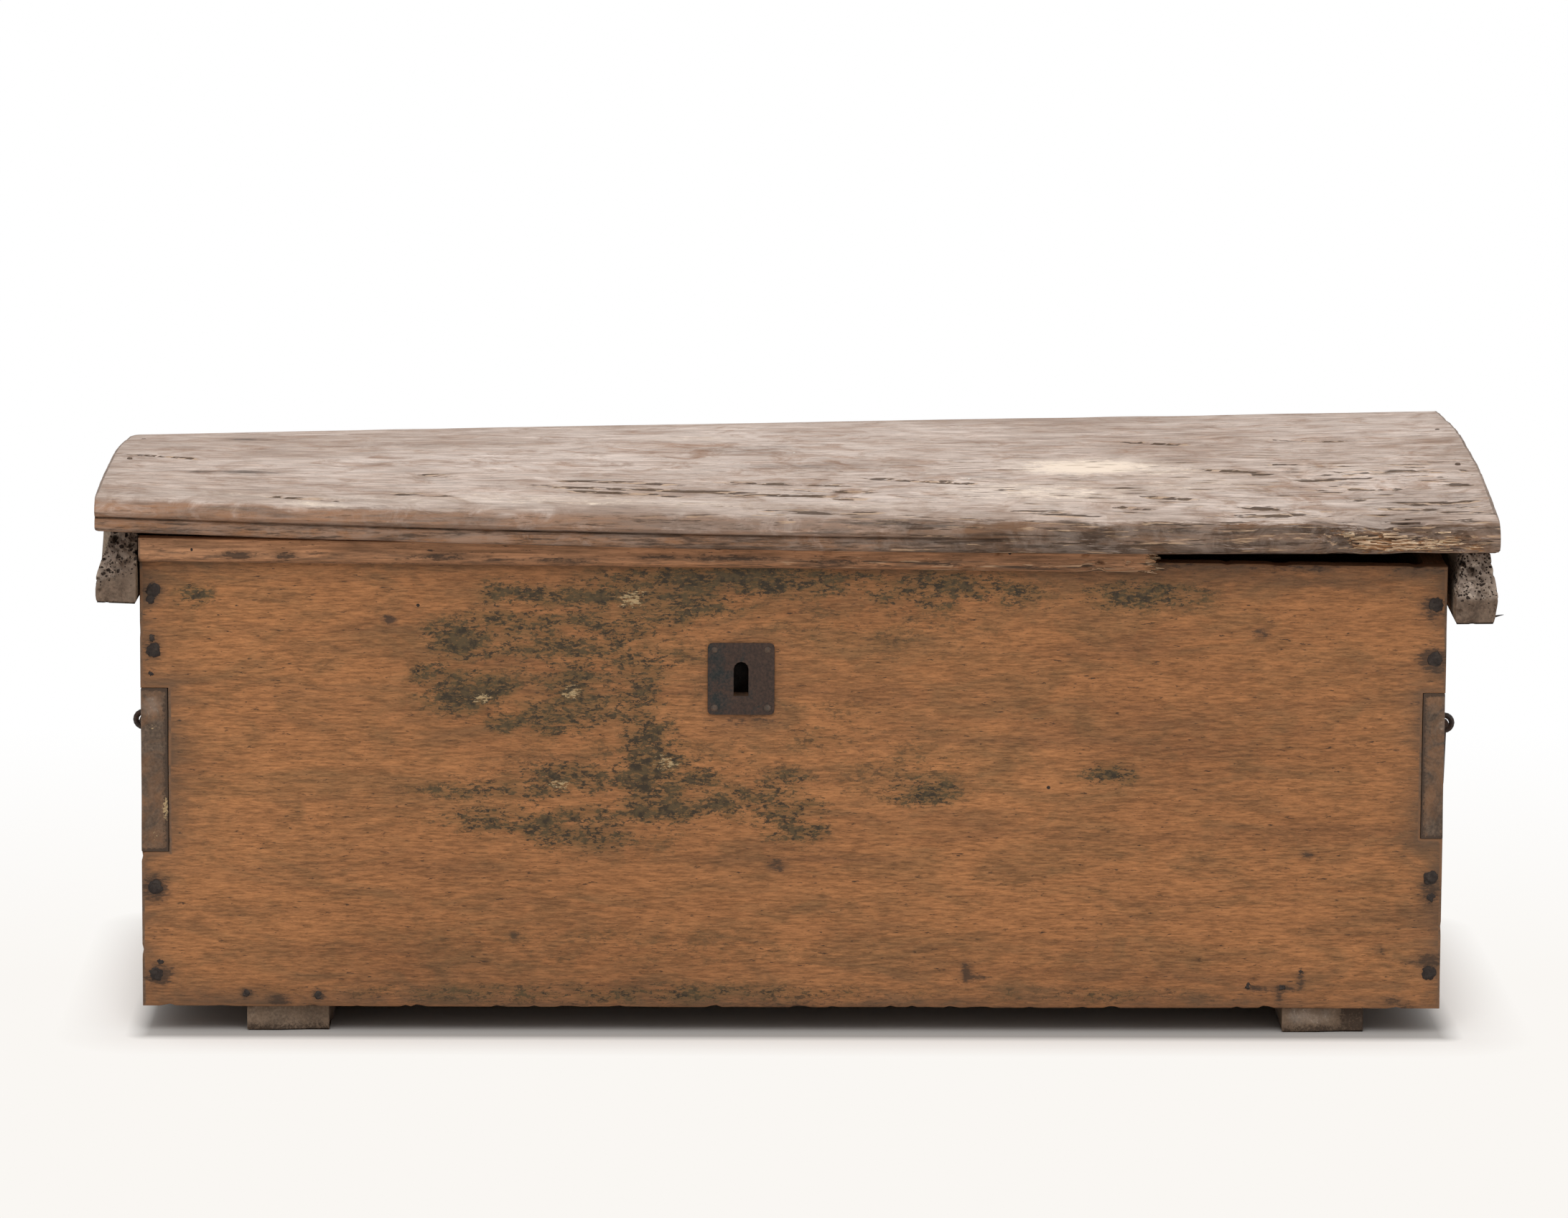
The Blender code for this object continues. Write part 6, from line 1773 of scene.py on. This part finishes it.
# %% Nails of the chest
CHEST_NAIL = {"Head Width": 0.0105, "Head Height": 0.0012, "Top Share": 0.62, "Sides": 9, "Hammer": 0.0044,
              "Seed": 5, "Material": NAIL_IRON}
FRONT_NAIL_SIZE, BACK_NAIL_SIZE = 1.25, 1.0
NAIL_SUNK, SMALL_NAIL_SUNK = 0.0004, 0.0006
LEAF_PROUD = 0.0033
TO_FRONT, TO_BACK = Vector((0, -1, 0)), Vector((0, 1, 0))
# A small nail is its x, z and size.
EXTRA_FRONT_NAILS = (
    (-0.5410, 0.3690, 0.9), (-0.5395, 0.3365, 0.7), (-0.5413, 0.3068, 0.5), (-0.5345, 0.0605, 0.6),
    (0.5357, 0.1180, 0.8), (-0.463, 0.0335, 0.75), (-0.402, 0.0318, 0.75), (0.3828, 0.0415, 0.6),
    (0.4108, 0.0403, 0.6), (0.427, 0.0528, 0.55),
)
chest_nails = sorted(
    name for name, node in frame["nodes"].items()
    if name.split("_")[-2] == "nail" and body_of(node) == ["chest"]
)
seeds = []
for name in chest_nails:
    low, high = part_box(name)
    middle = (low + high) / 2
    way, face, size = TO_BACK, BACK, BACK_NAIL_SIZE
    if name.startswith("front"):
        way, face, size = TO_FRONT, FRONT, FRONT_NAIL_SIZE
    if "leaf" in name:
        face = BACK + LEAF_PROUD
    seeds.append((Vector((middle.x, face, middle.z)) - way * NAIL_SUNK, way, size))
for x, z, size in EXTRA_FRONT_NAILS:
    seeds.append((Vector((x, FRONT + SMALL_NAIL_SUNK, z)), TO_FRONT, size))
nails = grow("chest_nail_heads", NAIL_TREE, seeds, CHEST_NAIL)
settle(nails, NAIL_IRON, "chest", "forged_iron", *chest_nails)

# %% Nails of the battens
BATTEN_NAIL = {"Head Width": 0.0055, "Head Height": 0.0016, "Top Share": 0.7, "Sides": 8, "Hammer": 0.001,
               "Seed": 11, "Material": GREY_IRON}
BATTEN_NAIL_SUNK = 0.0008
batten_nails = sorted(name for name in frame["nodes"] if "batten_nail" in name)
seeds = []
for name in batten_nails:
    low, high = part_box(name)
    x, s = (low.x + high.x) / 2, (low.y + high.y) / 2 - LID_FRONT_Y
    top = place_lid(np.array([[[x]]]), np.array([[[s]]]), LID_LAYERS[-1:])[0, 0, 0, 2]
    seeds.append(((x, LID_FRONT_Y + s, top - BATTEN_NAIL_SUNK), (0, 0, 1), 1.0))
lid_nails = grow("batten_nail_heads", NAIL_TREE, seeds, BATTEN_NAIL)
settle(lid_nails, GREY_IRON, "lid", "forged_iron", *batten_nails)

# %% Pins of the lock plate
PLATE_PIN = {"Head Width": 0.0062, "Head Height": 0.0013, "Top Share": 0.45, "Sides": 10, "Hammer": 0.0006,
             "Seed": 8, "Material": PIN_IRON}
PIN_INSET = 0.0058
PIN_SIZES = (1.0, 0.9, 1.05, 0.95)
pin_xs = (PLATE_LOW.x + PIN_INSET, PLATE_HIGH.x - PIN_INSET)
pin_zs = (PLATE_LOW.z + PIN_INSET, PLATE_HIGH.z - PIN_INSET)
corners = itertools.product(pin_xs, pin_zs)
seeds = [((x, PLATE_LOW.y, z), TO_FRONT, size) for (x, z), size in zip(corners, PIN_SIZES)]
pins = grow("lock_plate_pins", NAIL_TREE, seeds, PLATE_PIN)
settle(pins, PIN_IRON, "chest", "rusted_plate")

# %% [markdown]
# ## Splinters
#
# Where the moulding tore and where the lid's corner rotted, loose fibres stick out along the grain. A second
# tree sets thin tapering slivers on points of the break, each with its own length and lean. One sliver of
# iron makes the stub of a bent nail in the right batten.

# %% The splinter tree
SLIVER_TIP = 0.15
SLIVER_SIDES, SLIVER_SEGMENTS = 4, 3


def make_splinter_tree():
    sizes = {"Length": FLOAT, "Thickness": FLOAT, "Lean": FLOAT, "Seed": INTEGER, "Material": MATERIAL}
    n, given, out = geometry_tree("loose splinters", sizes)
    sliver = n.add("GeometryNodeMeshCone", {
        "Vertices": SLIVER_SIDES, "Side Segments": SLIVER_SEGMENTS,
        "Radius Top": n.times(given["Thickness"], SLIVER_TIP), "Radius Bottom": given["Thickness"],
        "Depth": given["Length"],
    }).outputs["Mesh"]
    inputs = {0: (-1.0, -1.0, -1.0), 1: (1.0, 1.0, 1.0), "Seed": given["Seed"]}
    chance = n.add("FunctionNodeRandomValue", inputs, data_type="FLOAT_VECTOR").outputs[0]
    lean = n.add("ShaderNodeVectorMath", {0: chance, "Scale": given["Lean"]}, operation="SCALE").outputs[0]
    tilted = n.vector("ADD", stored(n, "outward", "FLOAT_VECTOR"), lean)
    aligned = n.add("FunctionNodeAlignRotationToVector", {"Vector": tilted}, axis="Z").outputs["Rotation"]
    slivers = n.add("GeometryNodeInstanceOnPoints", {
        "Points": given["Geometry"], "Instance": sliver, "Rotation": aligned,
        "Scale": stored(n, "size", "FLOAT"),
    }).outputs[0]
    return finish_tree(n, slivers, given["Material"], out, smooth_shade=False)


SPLINTER_TREE = make_splinter_tree()
SPLINTER_PINE = pine(
    "splinter pine", (206, 178, 148), (172, 142, 114), (118, 92, 70), holes=0.0, edge_grime=0.0,
)
print("tree:", SPLINTER_TREE.name, "of", len(SPLINTER_TREE.nodes), "nodes")

# %% Splinters of the moulding
TEAR_SLIVER = {"Length": 0.009, "Thickness": 0.0007, "Lean": 0.22, "Seed": 3, "Material": SPLINTER_PINE}
TEAR_COUNT = 70
TEAR_DOWN, TEAR_OUT, TEAR_SUNK, TEAR_SIZES = (0.05, 0.95), (0.1, 0.95), (0.001, 0.006), (0.4, 1.0)
seeds = []
for _ in range(TEAR_COUNT):
    down, proud = rng.uniform(*TEAR_DOWN) * MOULDING_HEIGHT[0], rng.uniform(*TEAR_OUT) * MOULDING_PROUD
    at_break = place_moulding(np.array(MOULDING_RUN), np.array(down), np.array(proud))
    start = at_break - (rng.uniform(*TEAR_SUNK), 0.0, 0.0)
    seeds.append((start, (1.0, 0.0, 0.0), rng.uniform(*TEAR_SIZES)))
tear = grow("moulding_splinters", SPLINTER_TREE, seeds, TEAR_SLIVER)
settle(tear, SPLINTER_PINE, "chest", "warm_pine")

# %% Splinters of the lid
LID_SLIVER = {"Length": 0.016, "Thickness": 0.0010, "Lean": 0.07, "Seed": 6, "Material": SPLINTER_PINE}
SLIVER_COUNT = 150
SLIVER_X, SLIVER_ABOVE, SLIVER_SIZES = (0.452, 0.548), (0.003, 0.018), (0.4, 1.1)
SLIVER_SEAT, SLIVER_SUNK = 0.004, (0.0, 0.0012, 0.0)
SLIVER_FORWARD, SLIVER_TILT = -0.07, 0.05
seeds = []
for _ in range(SLIVER_COUNT):
    x, above = rng.uniform(*SLIVER_X), rng.uniform(*SLIVER_ABOVE)
    point = np.array([[x, LID_FRONT_Y + nose_run(x, above), lid_under(x, SLIVER_SEAT) + above]])
    start = (point + rot(point))[0] + SLIVER_SUNK
    way = (rng.choice((-1.0, 1.0)), SLIVER_FORWARD, rng.normal(0.0, SLIVER_TILT))
    seeds.append((start, way, rng.uniform(*SLIVER_SIZES)))
fibres = grow("lid_splinters", SPLINTER_TREE, seeds, LID_SLIVER)
settle(fibres, SPLINTER_PINE, "lid", "weathered_pine")

# %% The stub of a bent nail in the right batten
STUB = {"Length": 0.0105, "Thickness": 0.0013, "Lean": 0.0, "Seed": 1, "Material": NAIL_IRON}
STUB_AT = (0.5800, LID_FRONT_Y + 0.012, 0.3600)
STUB_WAY = (1.0, 0.0, 0.2)
stub = grow("batten_stub_nail", SPLINTER_TREE, [(STUB_AT, STUB_WAY, 1.0)], STUB)
settle(stub, NAIL_IRON, "lid", "forged_iron")

# %% [markdown]
# ## Ironwork
#
# Hinges, lock and handles have the right shapes in the solids already. A forged bar has no razor edge, so
# each flat piece is a copy of its solid with the loose triangles merged, flat faces joined and the arrises
# eased by a narrow bevel. Round bars, pins and the straps' nails stay as they are, with a better finish.

# %% Ease the iron pieces
MERGE_WITHIN = 1e-6
FLAT_ANGLE, EASED_ANGLE, SHARP_ANGLE = 1, 35, 40
EASE_PROFILE = 0.6


def eased(name, node, width, segments):
    """A copy of a solid with its arrises eased."""
    shape = bmesh.new()
    shape.from_mesh(frame["nodes"][node].data)
    bmesh.ops.remove_doubles(shape, verts=shape.verts, dist=MERGE_WITHIN)
    bmesh.ops.dissolve_limit(
        shape, angle_limit=math.radians(FLAT_ANGLE), verts=shape.verts, edges=shape.edges
    )
    least = math.radians(EASED_ANGLE)
    sharp = [e for e in shape.edges if len(e.link_faces) == 2 and e.calc_face_angle() > least]
    bmesh.ops.bevel(
        shape, geom=sharp, offset=width, segments=segments, profile=EASE_PROFILE, affect="EDGES",
        clamp_overlap=True,
    )
    mesh = bpy.data.meshes.new(name)
    shape.to_mesh(mesh)
    shape.free()
    shade(mesh, SHARP_ANGLE)
    return linked(name, mesh)


# An eased piece is its name, its solid, the bevel's width and segments, its finish, body and slot.
EASED_PIECES = (
    ("keyhole_plate", "lock_plate", 0.0006, 3, PLATE_IRON, "chest", "rusted_plate"),
    ("left_strap", "left_lid_strap", 0.0006, 2, FORGED_IRON, "lid", "forged_iron"),
    ("left_leaf", "left_back_leaf", 0.0006, 2, FORGED_IRON, "chest", "forged_iron"),
    ("right_strap", "right_lid_strap", 0.0006, 2, FORGED_IRON, "lid", "forged_iron"),
    ("right_leaf", "right_back_leaf", 0.0006, 2, FORGED_IRON, "chest", "forged_iron"),
    ("lock_box", "lock_case", 0.0007, 2, FORGED_IRON, "chest", "forged_iron"),
    ("keeper_plate", "lid_keeper", 0.0005, 2, FORGED_IRON, "lid", "forged_iron"),
)
for name, node, width, segments, finish, body, slot in EASED_PIECES:
    settle(eased(name, node, width, segments), finish, body, slot, node)

# %% Iron that keeps its solid's shape
kept = {name: node for name, node in frame["nodes"].items() if not node.hide_render}
for name, node in kept.items():
    node.data.materials.clear()
    node.data.materials.append(NAIL_IRON if "nail" in name else FORGED_IRON)
print("kept solids:", list(kept))

# %% [markdown]
# ## View and light
#
# The camera stands 6 m away, a little above the lid and a hair to the left, with a long lens: this was fitted
# to the chest's measured corners. The room is plain: a pale floor that keeps the shadow and fades to white
# behind the chest, even light from the world and one broad soft lamp above the camera. Under the chest and
# just round it the floor's colour is darker, a painted shadow. The floor glows for the camera alone, so it
# doesn't light the chest from below.

# %% Camera
PICTURE_WIDTH = 2184
FOCAL_PIXELS = 10061.4
SENSOR = 36.0
CLIP_END = 100.0
CAMERA_TURN = (0.9791, 8.7728, 0.3244)
CAMERA_PLACE = (-0.1136, -6.2, 1.2848)
camera_data = bpy.data.cameras.new("camera")
camera = linked("camera", camera_data)
camera_data.sensor_width = SENSOR
camera_data.lens = FOCAL_PIXELS * SENSOR / PICTURE_WIDTH
camera_data.clip_end = CLIP_END
yaw, pitch, roll = (math.radians(angle) for angle in CAMERA_TURN)
forward = Vector((math.sin(yaw) * math.cos(pitch), math.cos(yaw) * math.cos(pitch), -math.sin(pitch)))
level = Vector((math.cos(yaw), -math.sin(yaw), 0.0))
side = math.cos(roll) * level + math.sin(roll) * level.cross(forward)
up = side.cross(forward)
turn = Matrix((side, up, -forward)).transposed().to_4x4()
camera.matrix_world = Matrix.Translation(CAMERA_PLACE) @ turn
bpy.context.scene.camera = camera
print("lens:", round(camera_data.lens, 2), "mm")

# %% Floor
FLOOR_SIZE = 14.0
FLOOR_DROP = 0.0002
FLOOR_ROUGH = 0.9
# The second colour is a painted shadow: the floor's own colour made darker under the chest.
FLOOR_PALE, FLOOR_PAINTED_SHADOW = linear((246, 243, 239)), linear((178, 174, 170))
FLOOR_GLOW, BACKDROP_GLOW = linear((250, 247, 243)), linear((255, 255, 255))
WHITE_FROM = (0.0, 0.08)
PAINTED_SHADOW_REACH = 0.02
BACKDROP_FROM = (0.0, 1.3)
shape = bmesh.new()
bmesh.ops.create_grid(shape, x_segments=1, y_segments=1, size=FLOOR_SIZE)
floor_mesh = bpy.data.meshes.new("floor")
shape.to_mesh(floor_mesh)
shape.free()
floor = linked("floor", floor_mesh)
floor.location.z = -FLOOR_DROP
floor_finish, n, shader = new_finish("pale floor")
shader.inputs["Roughness"].default_value = FLOOR_ROUGH
place = n.add("ShaderNodeTexCoord").outputs["Object"]
beyond = n.vector("MAXIMUM", n.vector("SUBTRACT", n.vector("ABSOLUTE", place), (RIGHT, BACK, 1.0)))
away = n.add("ShaderNodeVectorMath", {0: beyond}, operation="LENGTH").outputs["Value"]
# Under the chest and within a short reach round it the floor's colour is darker: a painted shadow.
floor_colour_and_shadow = n.blend(n.rescale(away, 0.0, PAINTED_SHADOW_REACH), FLOOR_PAINTED_SHADOW, FLOOR_PALE)
n.link(floor_colour_and_shadow, shader.inputs["Base Color"])
behind = n.rescale(n.add("ShaderNodeSeparateXYZ", {0: place}).outputs["Y"], *BACKDROP_FROM)
lit_white = n.blend(behind, FLOOR_GLOW, BACKDROP_GLOW)
glow = n.add("ShaderNodeEmission", {"Color": lit_white, "Strength": 1.0}).outputs[0]
part = n.times(n.rescale(away, *WHITE_FROM), n.add("ShaderNodeLightPath").outputs["Is Camera Ray"])
fade = n.add("ShaderNodeMixShader", {0: part, 1: shader.outputs[0], 2: glow}).outputs[0]
n.link(fade, n.tree.nodes["Material Output"].inputs["Surface"])
floor.data.materials.append(floor_finish)
print("floor:", 2 * FLOOR_SIZE, "m wide")

# %% World
WORLD_LIGHT = 0.76
WHITE = (1.0, 1.0, 1.0, 1.0)
world = bpy.data.worlds.new("studio")
world.use_nodes = True
bpy.context.scene.world = world
n = Nodes(world.node_tree)
light = world.node_tree.nodes["Background"]
light.inputs["Color"].default_value = WHITE
light.inputs["Strength"].default_value = WORLD_LIGHT
white = n.add("ShaderNodeBackground", {"Color": WHITE, "Strength": 1.0})
path = n.add("ShaderNodeLightPath").outputs
shown = n.plus(n.plus(path["Is Camera Ray"], path["Is Glossy Ray"]), path["Is Transmission Ray"])
inputs = {0: n.math("MINIMUM", shown, 1.0), 1: light.outputs[0], 2: white.outputs[0]}
both = n.add("ShaderNodeMixShader", inputs).outputs[0]
n.link(both, world.node_tree.nodes["World Output"].inputs["Surface"])
print("world:", WORLD_LIGHT)

# %% Lamp
LAMP_PLACE, LAMP_TARGET = Vector((-0.4, -5.5, 6.5)), Vector((0.0, 0.0, 0.25))
LAMP_SIZE, LAMP_POWER = 5.0, 300.0
lamp_data = bpy.data.lights.new("softbox", "AREA")
lamp_data.shape = "DISK"
lamp_data.size = LAMP_SIZE
lamp_data.energy = LAMP_POWER
lamp = linked("softbox", lamp_data)
lamp.location = LAMP_PLACE
lamp.rotation_euler = (LAMP_TARGET - LAMP_PLACE).to_track_quat("-Z", "Y").to_euler()
bpy.context.scene.view_settings.view_transform = "Standard"
print("lamp:", LAMP_POWER, "W")
